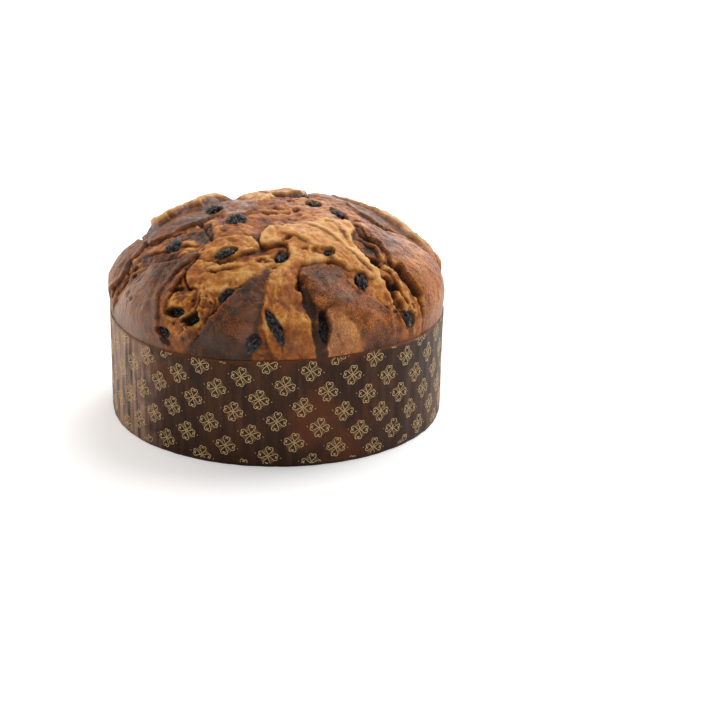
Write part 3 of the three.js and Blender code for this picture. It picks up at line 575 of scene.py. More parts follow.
def turned(x, y, degrees):
    """Coordinates along and across a direction."""
    angle = np.radians(degrees)
    return x * np.cos(angle) + y * np.sin(angle), y * np.cos(angle) - x * np.sin(angle)


def fractal(points, size, octaves=3, seed=0.0):
    """Fractal noise about 0 at points in millimetres, with features of the given size."""
    scaled = points / size + seed
    return np.array([noise.fractal(p, FAINTER, FINER, octaves) for p in scaled.tolist()])


def crests(points, octaves, seed):
    """Sharp crests with hollows between them, 0 to 1."""
    return 1 - np.minimum(1, 2.4 * np.abs(fractal(points, 1, octaves, seed)))


def cells(points, share, seed):
    """Round pits in a share of cells, 1 in the middle of each, and the net of strands between the cells."""
    pits, strands = [], []
    for p in (points + seed).tolist():
        distances, middles = noise.voronoi(p)
        there = noise.cell(middles[0] * 7.31) < share
        pits.append(max(0.0, 1 - distances[0] / PIT_RADIUS) if there else 0.0)
        strands.append(math.exp((distances[0] - distances[1]) / STRAND))
    return np.array(pits), np.array(strands)


# The crust


def on_bare_dome(places):
    """Points of the bare dome, in millimetres."""
    fall = np.linalg.norm(places, axis=1) / 100 * math.pi / 2
    turn = np.arctan2(places[:, 1], places[:, 0])
    reach = BREAD_RADIUS * np.sin(fall)
    return np.stack([reach * np.cos(turn), reach * np.sin(turn), CASE_HEIGHT + DOME_RISE * np.cos(fall)], 1)


def outward(points):
    """Unit directions straight out of the bare dome."""
    flat = points[:, :2] / BREAD_RADIUS ** 2
    lift = np.maximum(points[:, 2] - CASE_HEIGHT, 0) / DOME_RISE ** 2
    out = np.column_stack([flat, lift])
    return out / np.linalg.norm(out, axis=1)[:, None]


def unevenness(x, y):
    """The dome's broad waves, in millimetres."""
    return (
        0.9 * np.sin(0.071 * x + 0.6) * np.cos(0.083 * y - 0.4)
        + 0.5 * np.sin(0.17 * x - 0.11 * y + 1.9)
        + 0.3 * np.cos(0.13 * x + 0.24 * y)
    )


class Crust:
    """Height, sideways shift and colour masks of the crust at many places."""

    def __init__(self, places, faces, raisins):
        self.places = places
        self.points = on_bare_dome(places)
        count = len(places)
        self.height = np.zeros(count)
        self.tone = np.full(count, BARE_CRUST["tone"])
        self.painted_sheen = np.zeros(count)
        self.torn = np.full(count, BARE_CRUST["torn"])
        self.grain = np.zeros(count)
        self.gap = np.zeros(count)
        self.shift = np.zeros((count, 2))
        self.ends = np.array([(a, b) for face in faces for a, b in zip(face, face[1:] + face[:1])]).T
        self.wander = np.column_stack([self.stray(seed) for seed in (3.1, 8.7)])
        self.held = 1 - ease(*HELD, np.linalg.norm(places, axis=1))
        for plate in PLATES.values():
            self.lay(plate)
        for fold in FOLDS.values():
            self.fold(fold)
        for stain_or_highlight in STAINS_AND_HIGHLIGHTS:
            self.stain_or_highlight(*stain_or_highlight)
        self.texture()
        for groove in GROOVES.values():
            self.cut(groove)
        for pit in PITS:
            self.sink(*pit)
        self.settle()
        for raisin in raisins:
            self.nest(raisin)
        self.shade_recesses()

    def stray(self, seed):
        """How far outlines stray from their drawn lines along one axis, in hundredths."""
        return fractal(self.points, 14, 3, seed) * 1.5 + fractal(self.points, 4, 2, seed) * 0.5

    def near(self, line, margin):
        """Indices of the places around a line."""
        low, high = line.min(0) - margin, line.max(0) + margin
        return np.flatnonzero(((self.places > low) & (self.places < high)).all(1))

    def melt(self, here, plate):
        """How far each place is in one of a plate's soft zones, 0 to 1."""
        share = np.zeros(len(here))
        for middle, radius in plate.get("soft", ()):
            away = np.linalg.norm(self.places[here] - middle, axis=1)
            share = np.maximum(share, 1 - ease(0.45 * radius, radius, away))
        return share

    def lay(self, plate):
        """Lay a fold or petal over what is there."""
        outline = smooth_line(plate["outline"], True)
        here = self.near(outline, NEAR["plate"])
        places = self.places[here] + self.wander[here]
        away, step, _, _ = nearest(places, outline)
        within = is_inside(places, outline)
        inside = np.where(within, away, -away)
        soft = self.melt(here, plate)
        edge = mix(plate["edge"], SOFT_EDGE, soft)
        patches = fractal(self.points[here], FADE_PATCH["plate"], 2, 7.7)
        proud = np.clip(0.7 + 1.1 * patches, 0.1, 1.3) * (1 - soft)
        cover = ease(-edge, edge, inside)
        depth = np.maximum(inside, 0)
        lip = plate["lip"] * proud
        rise = plate["swell"] * (1 - np.exp(-depth / SWELL_REACH))
        own = plate["level"] + lip * np.exp(-depth / LIP_REACH) + rise
        own -= 0.9 * lip * np.exp(-((depth - FURROW["at"]) / FURROW["reach"]) ** 2)
        held = self.held[here]
        undercut = plate["undercut"] * np.exp(-(inside / UNDERCUT_REACH) ** 2) * (1 - cover)
        undercut = undercut * (inside < 0) * proud * held
        self.height[here] = mix(self.height[here] - undercut, own, cover)
        outwards = np.where(within, 1.0, -1.0)[:, None] * step / np.maximum(away, 0.05)[:, None]
        push = plate["curl"] * cover * np.exp(-(depth / CURL_REACH) ** 2) * held * proud
        self.shift[here] = mix(self.shift[here], outwards * push[:, None], cover[:, None])
        # Painted shade in the crease under the plate's edge.
        self.gap[here] = np.maximum(self.gap[here] * (1 - cover), 0.42 * undercut)
        blend = mix(BLEND["hard"], plate.get("blend", BLEND["plain"]), soft)
        for name in ("tone", "painted_sheen", "torn"):
            values = getattr(self, name)
            values[here] = mix(values[here], plate[name], ease(-blend, blend, inside))
        self.grain[here] = np.where(within, plate["grain"], self.grain[here])
        # Painted highlight along a plate's raised edge: a paler tone and, on smooth crust, more painted
        # sheen.
        edge_light = np.exp(-(depth / BRIGHT_EDGE) ** 2) * cover * (1 - soft)
        self.tone[here] -= 0.09 * edge_light
        self.painted_sheen[here] += 0.2 * edge_light * (1 - self.torn[here])

    def fold(self, fold):
        """Lay the edge of a sheet of pulled dough along its line."""
        line = smooth_line(fold["line"], False)
        here = self.near(line, NEAR["fold"])
        away, step, way, share = nearest(self.places[here] + 0.6 * self.wander[here], line)
        front = np.where(way[:, 0] * step[:, 1] - way[:, 1] * step[:, 0] > 0, away, 0.0)
        back = np.where(front > 0, 0.0, away)
        patches = fractal(self.points[here], FADE_PATCH["fold"], 2, 2.9)
        fade = ease(0, 0.25, share) * ease(1, 0.75, share) * (1 + 0.6 * patches)
        rise = ease(fold["reach"] * 1.4, 0, back) * ease(1.1, 0, front) * fade
        crease = np.exp(-((front - CREASE["at"]) / CREASE["reach"]) ** 2) * (front > 0) * fade
        self.height[here] += fold["height"] * (rise - 0.35 * crease)
        paint = ease(fold["reach"], 0.3 * fold["reach"], back) * ease(1.2, 0.3, front)
        paint = paint * np.clip(1.4 * fade, 0, 1)
        # The crease in front of the edge gets a darker tone and painted shade.
        self.tone[here] = mix(self.tone[here], fold["tone"], 0.8 * paint) + 0.2 * crease
        self.gap[here] = np.maximum(self.gap[here] * (1 - paint), 0.35 * crease)
        turn = np.degrees(np.arctan2(way[:, 1], way[:, 0]))
        self.grain[here] = np.where(paint > 0.3, turn, self.grain[here])

    def stain_or_highlight(self, at, radius, tone, painted_sheen):
        """Shift the colour around a place."""
        share = 1 - ease(0.2 * radius, radius, np.linalg.norm(self.places + self.wander - at, axis=1))
        self.tone += tone * share
        self.painted_sheen += painted_sheen * share

    def texture(self):
        """Webs, fibres and bubbles of torn dough, and the dimples of smooth crust."""
        x, y = self.places.T * HUNDREDTH
        along, across = turned(x, y, self.grain)
        across = across + 4 * fractal(self.points, ROUND["drift"], 2, 5.3)
        side = self.grain / 60

        def pulled(name):
            long, wide = PULLED[name]
            return np.column_stack([along / long, across / wide, side])

        bends = [fractal(self.points, ROUND["bend"], 2, seed) for seed in (0.7, 5.9, 9.3)]
        bend = 0.35 * np.column_stack(bends)
        holes, net = cells(pulled("holes") + bend, 0.2, 4.4)
        pores, fine_net = cells(pulled("pores") + bend, 0.16, 9.9)
        thin = crests(pulled("thin"), 2, 1.1)
        patterns = {
            "all": 1.0,
            "web": crests(pulled("web"), 3, 6.1),
            "thin": thin,
            "thin_crests": thin ** 2,
            "fibre": fractal(pulled("fibre"), 1, 3, 1.7),
            "lumps": fractal(self.points, ROUND["lumps"], 3, 2.2),
            "holes": ease(0.35, 0.7, holes),
            "pores": ease(0.3, 0.7, pores),
            "net": net,
            "fine_net": fine_net,
            "grit": fractal(self.points, ROUND["grit"], 3, 13.1),
            "patches": fractal(self.points, ROUND["patches"], 3, 11.3),
            "mottle": fractal(self.points, ROUND["mottle"], 3, 15.7),
        }

        def added(shares):
            return sum(share * patterns[name] for name, share in shares.items())

        torn = self.torn
        plain = 1 - torn
        self.height += torn * added(DOUGH)
        self.height += DOUGH_GRIT * torn * patterns["grit"] - torn * added(BURST)
        self.height += plain * added(SKIN)
        self.tone += torn * added(DOUGH_TONE)
        self.tone += torn * added(BURST_TONE)
        self.tone += plain * added(SKIN_TONE)
        self.painted_sheen += plain * SKIN_PAINTED_SHEEN * patterns["patches"]
        self.gap += torn * added(BURST_PAINTED_SHADE)
        self.flow = np.column_stack([along, across, side])

    def cut(self, groove):
        """Sink a groove along its line."""
        line = smooth_line(groove["line"], False)
        here = self.near(line, NEAR["groove"])
        away = nearest(self.places[here] + 0.7 * self.wander[here], line)[0]
        patches = fractal(self.points[here], FADE_PATCH["groove"], 2, 1.3)
        share = 1 - ease(0.55, 1.1, away / (groove["width"] / 2 * (1 + 0.7 * patches)))
        self.height[here] -= groove["depth"] * share
        # Painted shade on the groove's walls, and a darker tone along it.
        shadow = ease(0.05, 0.6, share) * ease(1.5, 5.0, groove["depth"]) * 0.95
        self.gap[here] = np.maximum(self.gap[here], shadow)
        self.tone[here] += 0.12 * share

    def sink(self, at, size, turn, depth):
        """Sink a burst bubble."""
        x, y = ((self.places - at + self.wander) * HUNDREDTH).T
        along, across = turned(x, y, turn)
        share = 1 - ease(0.8, 1.04, np.hypot(along / size[0], across / size[1]))
        self.height -= depth * share
        # Painted shade in deep pits, and a darker tone in them.
        self.gap = np.maximum(self.gap, share * ease(1.2, 4.5, depth) * 0.95)
        self.tone += 0.1 * share

    def settle(self):
        """Round the crust into the paper's rim."""
        out = np.linalg.norm(self.places, axis=1)
        x, y = self.places.T
        free = 1 - ease(*RIM_FADE, out)
        self.height = (self.height + unevenness(x, y) + SHOULDER * ease(*SHOULDER_RISE, out)) * free
        self.shift *= free[:, None]

    def nest(self, raisin):
        """Close the dough round a raisin, with painted shade in the crevice along it and in the hollow of a
        deep-set one.
        """
        x, y = ((self.places - raisin.place + 0.5 * self.wander) * HUNDREDTH).T
        along, across = turned(x, y, raisin.turn)
        out = np.hypot(along / raisin.half[0], across / raisin.half[1])
        under = 1 - ease(*HOLLOW, out)
        ring = (1 - ease(*COLLAR, out)) * (1 - under)
        level = raisin.height + 0.4 * raisin.half[2]
        closer = ease(1.5, -0.5, self.height - level)
        self.height = mix(self.height, level, 0.75 * ring * closer)
        floor = raisin.height - 0.9 * raisin.half[2]
        self.height = mix(self.height, np.minimum(self.height, floor), under)
        self.shift *= (1 - np.maximum(under, ring))[:, None]
        crevice = np.exp(-((out - CREVICE["at"]) / CREVICE["reach"]) ** 2)
        self.gap = np.maximum(self.gap, 0.9 * crevice)
        self.gap = np.maximum(self.gap, under * ease(*DEEP, raisin.deeper))
        self.tone += 0.1 * ring

    def spread(self, values, rounds):
        """Values averaged with their neighbours."""
        start, end = self.ends
        count = len(values)
        degree = np.bincount(start, minlength=count) + np.bincount(end, minlength=count)
        for _ in range(rounds):
            total = np.bincount(start, values[end], count) + np.bincount(end, values[start], count)
            values = 0.4 * values + 0.6 * total / degree
        return values

    def shade_recesses(self):
        """Paint shade: darker tone in hollows and paler tops of torn dough, painted shade in deep hollows,
        darker near the rim.
        """
        fine, wide = (self.spread(self.height, ROUNDS[reach]) - self.height for reach in ("fine", "wide"))
        self.tone += self.torn * (0.3 * np.clip(fine, -0.7, 1.5) + 0.09 * np.clip(wide, -2.5, 3))
        self.tone += (1 - self.torn) * (0.05 * np.clip(fine, -1, 1) + 0.02 * np.clip(wide, -2, 3))
        shadow = np.maximum(self.gap, 0.7 * ease(2.4, 6.0, wide))
        self.gap = np.clip(self.spread(shadow, 1), 0, 1)
        self.painted_sheen = np.clip(self.painted_sheen, 0, 1)
        self.tone += 0.12 * ease(*RIM_DARK, np.linalg.norm(self.places, axis=1))

    def surface(self):
        """Points of the crust, in millimetres."""
        moved = self.places + self.shift / HUNDREDTH
        base = on_bare_dome(moved)
        return base + outward(base) * self.height[:, None]


class Raisin:
    """Where a raisin's solid lies, read from its node, and how it shows."""

    def __init__(self, node, turn, deeper):
        corners = np.array([v.co[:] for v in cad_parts[node].data.vertices]) / MM
        self.node = node
        self.turn = turn
        self.deeper = deeper
        self.middle = corners.mean(0)
        self.axes = np.linalg.svd(corners - self.middle, full_matrices=False)[2]
        self.axes[2] *= np.sign(np.linalg.det(self.axes))
        self.half = np.array([np.abs((corners - self.middle) @ axis).max() for axis in self.axes])
        reach = math.hypot(*self.middle[:2])
        fall = math.atan2(reach / BREAD_RADIUS, (self.middle[2] - CASE_HEIGHT) / DOME_RISE)
        self.place = self.middle[:2] / reach * fall / (math.pi / 2) * 100
        bare = on_bare_dome(self.place[None])
        out = outward(bare)[0]
        self.height = ((self.middle - bare) @ out)[0] - deeper
        self.middle = self.middle - deeper * out


def disc_places(rings):
    """Places of a disc in rings of 6, 12, 18 and so on, and its triangles."""
    places, faces = [(0.0, 0.0)], []
    first = [0] + [1 + 3 * ring * (ring - 1) for ring in range(1, rings + 1)]
    for ring in range(1, rings + 1):
        out = 100 * ring / rings
        around = 2 * np.pi * np.arange(6 * ring) / (6 * ring)
        places.extend(zip(out * np.cos(around), out * np.sin(around)))

        def at(r, k):
            return first[r] + (k % (6 * r) if r else 0)

        for sixth in range(6):
            for k in range(ring):
                outer, inner = sixth * ring + k, sixth * (ring - 1) + k
                faces.append((at(ring, outer), at(ring, outer + 1), at(ring - 1, inner)))
                if k < ring - 1:
                    faces.append((at(ring, outer + 1), at(ring - 1, inner + 1), at(ring - 1, inner)))
    return np.array(places), faces


# The case's wall and its print


def round_from(turns, at):
    """Degrees round from a place on the rim, -180 to 180."""
    return (np.degrees(turns) - at + 180) % 360 - 180


def rim_height(turns):
    """Height of the case's rim, in millimetres, all the way round."""
    height = CASE_HEIGHT + RIM_WAVE * np.sin(5 * turns + 1) + 0.5 * RIM_WAVE * np.sin(11 * turns)
    for bend in RIM_BENDS:
        height = height + bend["rise"] * np.exp(-(round_from(turns, bend["at"]) / bend["reach"]) ** 2)
    return height


class Wall:
    """The case's outer wall."""

    def __init__(self, look):
        self.wrinkle = look.wrinkle / MM

    def radius(self, turns, heights):
        """Distance of the wall from the axis."""
        across = CASE_RADIUS / CREASE_WIDTH
        creased = np.column_stack([across * np.cos(turns), across * np.sin(turns), heights / CREASE_LENGTH])
        wrinkles = fractal(creased, 1, 3, 4.2)
        slack = SLACK * np.sin(7 * turns + 0.02 * heights) * ease(10, 60, heights)
        foot = FOOT_ROUND * ease(0.8, 0.0, heights)
        past = round_from(turns, LAP["at"])
        lap = LAP["proud"] * ease(0, 0.7, past) * ease(LAP["reach"], 0.2 * LAP["reach"], past)
        wave = np.maximum(self.wrinkle * wrinkles + slack, -WALL_DENT)
        return CASE_RADIUS - WALL_INSET + wave + lap - foot

    def points(self, turns, share):
        """One row of the wall, at a share of its height."""
        heights = rim_height(turns) * share
        reach = self.radius(turns, heights)
        return np.column_stack([reach * np.cos(turns), reach * np.sin(turns), heights])

    def ribbon(self, stroke, width):
        """A thin closed ribbon along a stroke given as distance round and height."""
        step = np.gradient(stroke, axis=0)
        side = np.column_stack([-step[:, 1], step[:, 0]])
        side = side / np.linalg.norm(step, axis=1)[:, None] * width / 2
        rails = []
        for offset, proud in ((-1, -INK_SUNK), (0, INK_PROUD), (1, -INK_SUNK)):
            flat = stroke + offset * side
            turns = flat[:, 0] / CASE_RADIUS
            reach = self.radius(turns, flat[:, 1]) + proud
            rails.append(np.column_stack([reach * np.cos(turns), reach * np.sin(turns), flat[:, 1]]))
        points = np.stack(rails, 1).reshape(-1, 3)
        faces = [(2, 1, 0)]
        for first in range(0, 3 * len(stroke) - 3, 3):
            for k in range(3):
                a, b = first + k, first + (k + 1) % 3
                faces.append((a, b, b + 3, a + 3))
        last = 3 * len(stroke) - 3
        faces.append((last, last + 1, last + 2))
        return points.tolist(), faces


def clover(size):
    """Strokes of one four-leaf clover of scrolled hearts, size from its middle to its tips."""
    leaf = np.array([
        (0.04, 0), (0.2, 0.06), (0.35, 0.15), (0.5, 0.25), (0.66, 0.34), (0.81, 0.35), (0.92, 0.28),
        (0.96, 0.16), (0.90, 0.05), (0.79, 0.03), (0.72, 0.09), (0.76, 0.16)])
    strokes = []
    for quarter in range(4):
        for flip in (1, -1):
            half = smooth_line(leaf * (1, flip), False, 2)
            strokes.append((turn_stroke(half, 90 * quarter), 1.0))
            fan = np.array([(0.42, 0.02), (0.84, 0.1)]) * (1, flip)
            strokes.append((turn_stroke(fan, 90 * quarter + 45), 0.4))
    for way in (-1, 1):
        strokes.append((np.array([(1.27 * way - 0.05, 0), (1.27 * way + 0.05, 0)]), 1.1))
    return [(turn_stroke(stroke, CLOVER_TURN) * size, width) for stroke, width in strokes]


def clover_strokes(look):
    """Strokes of every clover on the wall, as distance round and height, cut off at rim and foot."""
    motif = clover(look.motif / MM / 2)
    across, down = np.array(CLOVER_ROWS)
    seam = math.radians(LAP["at"]) * CASE_RADIUS
    whole = 2 * math.pi * CASE_RADIUS
    strokes = []
    for i, j in np.ndindex(2 * CLOVER_COUNT + 1, 2 * CLOVER_COUNT + 1):
        middle = (i - CLOVER_COUNT) * across + (j - CLOVER_COUNT) * down + (0, CLOVER_HEIGHT)
        beyond = abs(middle[0]) > whole / 2 + CLOVER_MARGIN
        if beyond or not -CLOVER_MARGIN < middle[1] < CASE_HEIGHT + CLOVER_MARGIN:
            continue
        for stroke, width in motif:
            placed = stroke + middle
            keep = np.abs(placed[:, 0]) < whole / 2 - INK_BESIDE_LAP
            placed = placed + (seam - whole / 2, 0)
            top = rim_height(placed[:, 0] / CASE_RADIUS) - INK_BELOW_RIM
            keep &= (placed[:, 1] > INK_ABOVE_FOOT) & (placed[:, 1] < top)
            runs = np.split(np.arange(len(placed)), np.flatnonzero(np.diff(keep.astype(int))) + 1)
            strokes += [(placed[run], width) for run in runs if keep[run[0]] and len(run) >= 2]
    return strokes


def turn_stroke(stroke, degrees):
    """A stroke turned about its middle."""
    return np.column_stack(turned(stroke[:, 0], stroke[:, 1], -degrees))


# Blender objects


def new_object(name, points, faces, material, replaces):
    """A piece from points in millimetres, riding on the part."""
    mesh = bpy.data.meshes.new(name)
    mesh.from_pydata((np.asarray(points) * MM).tolist(), [], faces)
    mesh.update()
    mesh.polygons.foreach_set("use_smooth", [True] * len(mesh.polygons))
    mesh.materials.append(material)
    piece = bpy.data.objects.new(name, mesh)
    bpy.context.scene.collection.objects.link(piece)
    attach(piece, "root")
    if replaces:
        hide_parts(*replaces)
    return piece


def add_mask(piece, name, values):
    """Store one number per point for the material to read."""
    layer = piece.data.attributes.new(name, "FLOAT", "POINT")
    layer.data.foreach_set("value", np.ascontiguousarray(values, np.float32))


# Materials


def new_material(name):
    """A material, its nodes and its shader."""
    material = bpy.data.materials.new(name)
    material.use_nodes = True
    tree = material.node_tree
    return material, tree, tree.nodes["Principled BSDF"]


def add_node(tree, kind, **settings):
    """A node with its settings."""
    node = tree.nodes.new(kind)
    for key, value in settings.items():
        setattr(node, key, value)
    return node


def feed(tree, socket, value):
    """Link an output to a socket, or set the socket to a number or a colour."""
    if isinstance(value, bpy.types.NodeSocket):
        tree.links.new(value, socket)
    elif isinstance(value, (int, float)):
        socket.default_value = value
    else:
        socket.default_value = (*value, 1.0)


def feed_all(tree, node, **values):
    """Feed a node's sockets by their names, with _ for a space."""
    for name, value in values.items():
        feed(tree, node.inputs[name.replace("_", " ")], value)


def object_place(tree):
    """Where a point lies on the piece, in metres."""
    return add_node(tree, "ShaderNodeTexCoord").outputs["Object"]


def noise_node(tree, vector, scale, detail=4.0, roughness=0.6):
    """Noise about a half; scale is per metre, as a number or an output."""
    node = add_node(tree, "ShaderNodeTexNoise")
    feed_all(tree, node, Vector=vector, Scale=scale, Detail=detail, Roughness=roughness)
    return node.outputs["Fac"]


def squashed(tree, vector, scale):
    """A vector with each axis scaled."""
    node = add_node(tree, "ShaderNodeMapping")
    node.inputs["Scale"].default_value = scale
    feed(tree, node.inputs["Vector"], vector)
    return node.outputs[0]


def math_node(tree, operation, *values, clamp=False):
    """The result of a Math node for one to three values."""
    node = add_node(tree, "ShaderNodeMath", operation=operation, use_clamp=clamp)
    for socket, value in zip(node.inputs, values):
        feed(tree, socket, value)
    return node.outputs[0]


def times(tree, a, b):
    """The product of two values."""
    return math_node(tree, "MULTIPLY", a, b)


def plus(tree, a, b):
    """The sum of two values."""
    return math_node(tree, "ADD", a, b)


def shade(tree, value, low, high):
    """0 below low and 1 above high, smooth between them."""
    node = add_node(tree, "ShaderNodeMapRange", interpolation_type="SMOOTHSTEP")
    feed_all(tree, node, Value=value, From_Min=low, From_Max=high)
    return node.outputs["Result"]


def centred(tree, value, reach):
    """A noise value about 0 instead of a half, times reach."""
    return times(tree, math_node(tree, "SUBTRACT", value, 0.5), reach)


def mix_colour(tree, share, a, b, blend="MIX"):
    """A colour between a and b."""
    node = add_node(tree, "ShaderNodeMix", data_type="RGBA", blend_type=blend)
    for socket, value in ((node.inputs[0], share), (node.inputs[6], a), (node.inputs[7], b)):
        feed(tree, socket, value)
    return node.outputs[2]


def ramp_node(tree, factor, stops):
    """A colour that follows a value through stops."""
    node = add_node(tree, "ShaderNodeValToRGB")
    ramp = node.color_ramp
    while len(ramp.elements) < len(stops):
        ramp.elements.new(0.5)
    for element, (place, colour) in zip(ramp.elements, stops):
        element.position = place
        element.color = (*colour, 1.0)
    feed(tree, node.inputs[0], factor)
    return node.outputs[0]


def mask_node(tree, name):
    """A number that the mesh stores per point."""
    return add_node(tree, "ShaderNodeAttribute", attribute_name=name).outputs["Fac"]


def baked_grain_group():
    """Fine speckle and pores of a baked skin: two colour masks and a height."""
    if GRAIN_GROUP in bpy.data.node_groups:
        return bpy.data.node_groups[GRAIN_GROUP]
    group = bpy.data.node_groups.new(GRAIN_GROUP, "ShaderNodeTree")
    sockets = group.interface
    for label, value in (("Speckle size", 900.0), ("Patch size", 110.0)):
        sockets.new_socket(label, in_out="INPUT", socket_type="NodeSocketFloat").default_value = value
    for label in ("Speckle", "Patches", "Height"):
        sockets.new_socket(label, in_out="OUTPUT", socket_type="NodeSocketFloat")
    source, result = add_node(group, "NodeGroupInput"), add_node(group, "NodeGroupOutput")
    where = object_place(group)
    speckle = noise_node(group, where, source.outputs["Speckle size"], 3.0, 0.5)
    patches = noise_node(group, where, source.outputs["Patch size"], 5.0, 0.5)
    dimples = noise_node(group, where, DIMPLE_SIZE, 2.0, 0.5)
    pores = add_node(group, "ShaderNodeTexVoronoi")
    feed_all(group, pores, Vector=where, Scale=source.outputs["Speckle size"])
    height = plus(group, speckle, times(group, pores.outputs["Distance"], 0.5))
    height = plus(group, height, times(group, dimples, 2.0))
    feed_all(group, result, Speckle=speckle, Patches=patches, Height=height)
    return group


def grain_node(tree, speckle, patches):
    """The baked grain at its own sizes."""
    node = add_node(tree, "ShaderNodeGroup")
    node.node_tree = baked_grain_group()
    feed_all(tree, node, Speckle_size=speckle, Patch_size=patches)
    return node


def bump(tree, shader, height, strength, distance):
    """Emboss a shader with a height."""
    node = add_node(tree, "ShaderNodeBump")
    feed_all(tree, node, Strength=strength, Distance=distance, Height=height)
    feed(tree, shader.inputs["Normal"], node.outputs["Normal"])


def crust_material(look):
    """Baked crust: its colour follows how long each place was in the heat, with painted sheen on smooth
    crust and painted shade in cracks and hollows.
    """
    material, tree, shader = new_material("crust")
    finish = CRUST_FINISH
    grain = grain_node(tree, *finish["grain"])
    # The tone mask holds the baked colour, with painted shade in hollows and painted highlights mixed in.
    torn, baked, gap = (mask_node(tree, name) for name in ("torn", "tone", "gap"))
    flow = add_node(tree, "ShaderNodeAttribute", attribute_name="flow").outputs["Vector"]
    fibre = noise_node(tree, squashed(tree, flow, FIBRE_SHAPE), 0.8, 5.0, 0.75)
    calm = math_node(tree, "MULTIPLY_ADD", torn, finish["calmer"], 1.1)
    calm = math_node(tree, "MAXIMUM", calm, finish["calmest"])
    dark = shade(tree, baked, *finish["dark"])
    fainter = math_node(tree, "MULTIPLY_ADD", dark, finish["fainter"], 1.0)
    speckle = times(tree, centred(tree, grain.outputs["Speckle"], finish["speckle"]), calm)
    tone = plus(tree, baked, times(tree, speckle, fainter))
    tone = plus(tree, tone, centred(tree, grain.outputs["Patches"], finish["patches"]))
    tone = plus(tree, tone, times(tree, centred(tree, fibre, finish["fibre"]), torn))
    colours = (look.pale, look.gold, look.amber, look.brown, look.dark, look.burnt)
    colour = ramp_node(tree, tone, list(zip(CRUST_STOPS, colours)))
    # Painted sheen: a greyish highlight painted on smooth crust, broken up by the speckle.
    sheen_speckle = plus(tree, centred(tree, grain.outputs["Speckle"], finish["sheen_speckle"]), 0.6)
    painted_sheen = math_node(tree, "MULTIPLY", mask_node(tree, "painted_sheen"), sheen_speckle, clamp=True)
    colour = mix_colour(tree, painted_sheen, colour, look.painted_sheen)
    # Painted shade in cracks, creases, holes and deep hollows.
    colour = mix_colour(tree, gap, colour, look.gap)
    dull = math_node(tree, "MAXIMUM", times(tree, torn, 0.2), gap)
    rough = math_node(tree, "MULTIPLY_ADD", dull, finish["duller"], finish["roughness"])
    feed_all(tree, shader, Base_Color=colour, Roughness=rough, Specular_IOR_Level=finish["gloss"])
    threads = times(tree, centred(tree, fibre, finish["fibre_relief"]), torn)
    height = plus(tree, times(tree, grain.outputs["Height"], calm), threads)
    bump(tree, shader, height, *finish["emboss"])
    return material


def raisin_material(look):
    """Wrinkled dried fruit skin with dull bluish dust on its ridges, which also paints their highlights."""
    material, tree, shader = new_material("raisin skin")
    finish = RAISIN_FINISH
    grain = grain_node(tree, *finish["grain"])
    patchy = plus(tree, grain.outputs["Patches"], 0.1)
    share = math_node(tree, "MULTIPLY", mask_node(tree, "ridge"), patchy, clamp=True)
    colour = mix_colour(tree, share, look.skin, look.dust_and_highlight)
    feed_all(tree, shader, Base_Color=colour, Roughness=finish["roughness"],
             Specular_IOR_Level=finish["gloss"])
    bump(tree, shader, grain.outputs["Height"], *finish["emboss"])
    return material


def paper_material(look):
    """Glazed brown baking paper with streaks, redder patches, an orange-brown scorch at its rim with a
    painted highlight, and a painted warm glow and a painted pale reflection on its side.
    """
    material, tree, shader = new_material("glazed paper")
    finish = PAPER_FINISH
    where = object_place(tree)
    streaks = noise_node(tree, squashed(tree, where, STREAK_SHAPE), finish["streaks"])
    clouds = noise_node(tree, where, finish["clouds"])
    fleck = noise_node(tree, where, finish["fleck"], 3.0)
    low, warm_glow, sheen, rim = (mask_node(tree, name) for name in ("low", "warm_glow", "sheen", "rim"))
    patches = shade(tree, clouds, *finish["patch"])
    # Painted reflection: a paler band with darker upright streaks where the glaze reflects the side light.
    lit = times(tree, sheen, shade(tree, streaks, *finish["sheen_streaks"]))
    colour = mix_colour(tree, shade(tree, streaks, *finish["streak_light"]), look.foot, look.paper)
    colour = mix_colour(tree, times(tree, low, finish["foot"]), colour, look.foot)
    colour = mix_colour(tree, times(tree, patches, finish["patches"]), colour, look.patch)
    # Painted light: the orange-brown glow of the brightly lit side.
    colour = mix_colour(tree, times(tree, warm_glow, finish["warm_glow"]), colour, look.warm_glow)
    colour = mix_colour(tree, times(tree, lit, finish["lit"]), colour, look.sheen)
    # Scorched edge at the rim, drawn lighter than the paper as painted highlight where the edge catches the
    # light.
    colour = mix_colour(tree, rim, colour, look.rim)
    colour = mix_colour(tree, 1.0, colour, mix_colour(tree, fleck, FLECK_DARK, FLECK_LIGHT), "MULTIPLY")
    rough = math_node(tree, "MULTIPLY_ADD", streaks, finish["duller"], finish["roughness"])
    rough = plus(tree, rough, times(tree, warm_glow, finish["warm_duller"]))
    feed_all(tree, shader, Base_Color=colour, Roughness=rough, Specular_IOR_Level=finish["gloss"])
    bump(tree, shader, streaks, *finish["emboss"])
    return material


def gold_material(look):
    """Printed gold ink, paler and darker in patches of a noise."""
    material, tree, shader = new_material("gold ink")
    finish = INK_FINISH
    wear = noise_node(tree, object_place(tree), finish["wear"])
    colour = mix_colour(tree, wear, look.ink, look.ink_dark)
    feed_all(tree, shader, Base_Color=colour, Roughness=finish["roughness"],
             Specular_IOR_Level=finish["gloss"])
    return material


# Settings


def length(name, description, default, **more):
    """A setting in metres."""
    return FloatProperty(
        name=name, description=description, default=default, subtype="DISTANCE", unit="LENGTH", **more)


def strength(name, description, default):
    """A setting for how strong a light is."""
    return FloatProperty(name=name, description=description, default=default, min=0)


def paint(name, description, default):
    """A colour setting."""
    return FloatVectorProperty(
        name=name, description=description, default=default, subtype="COLOR", min=0, max=1)


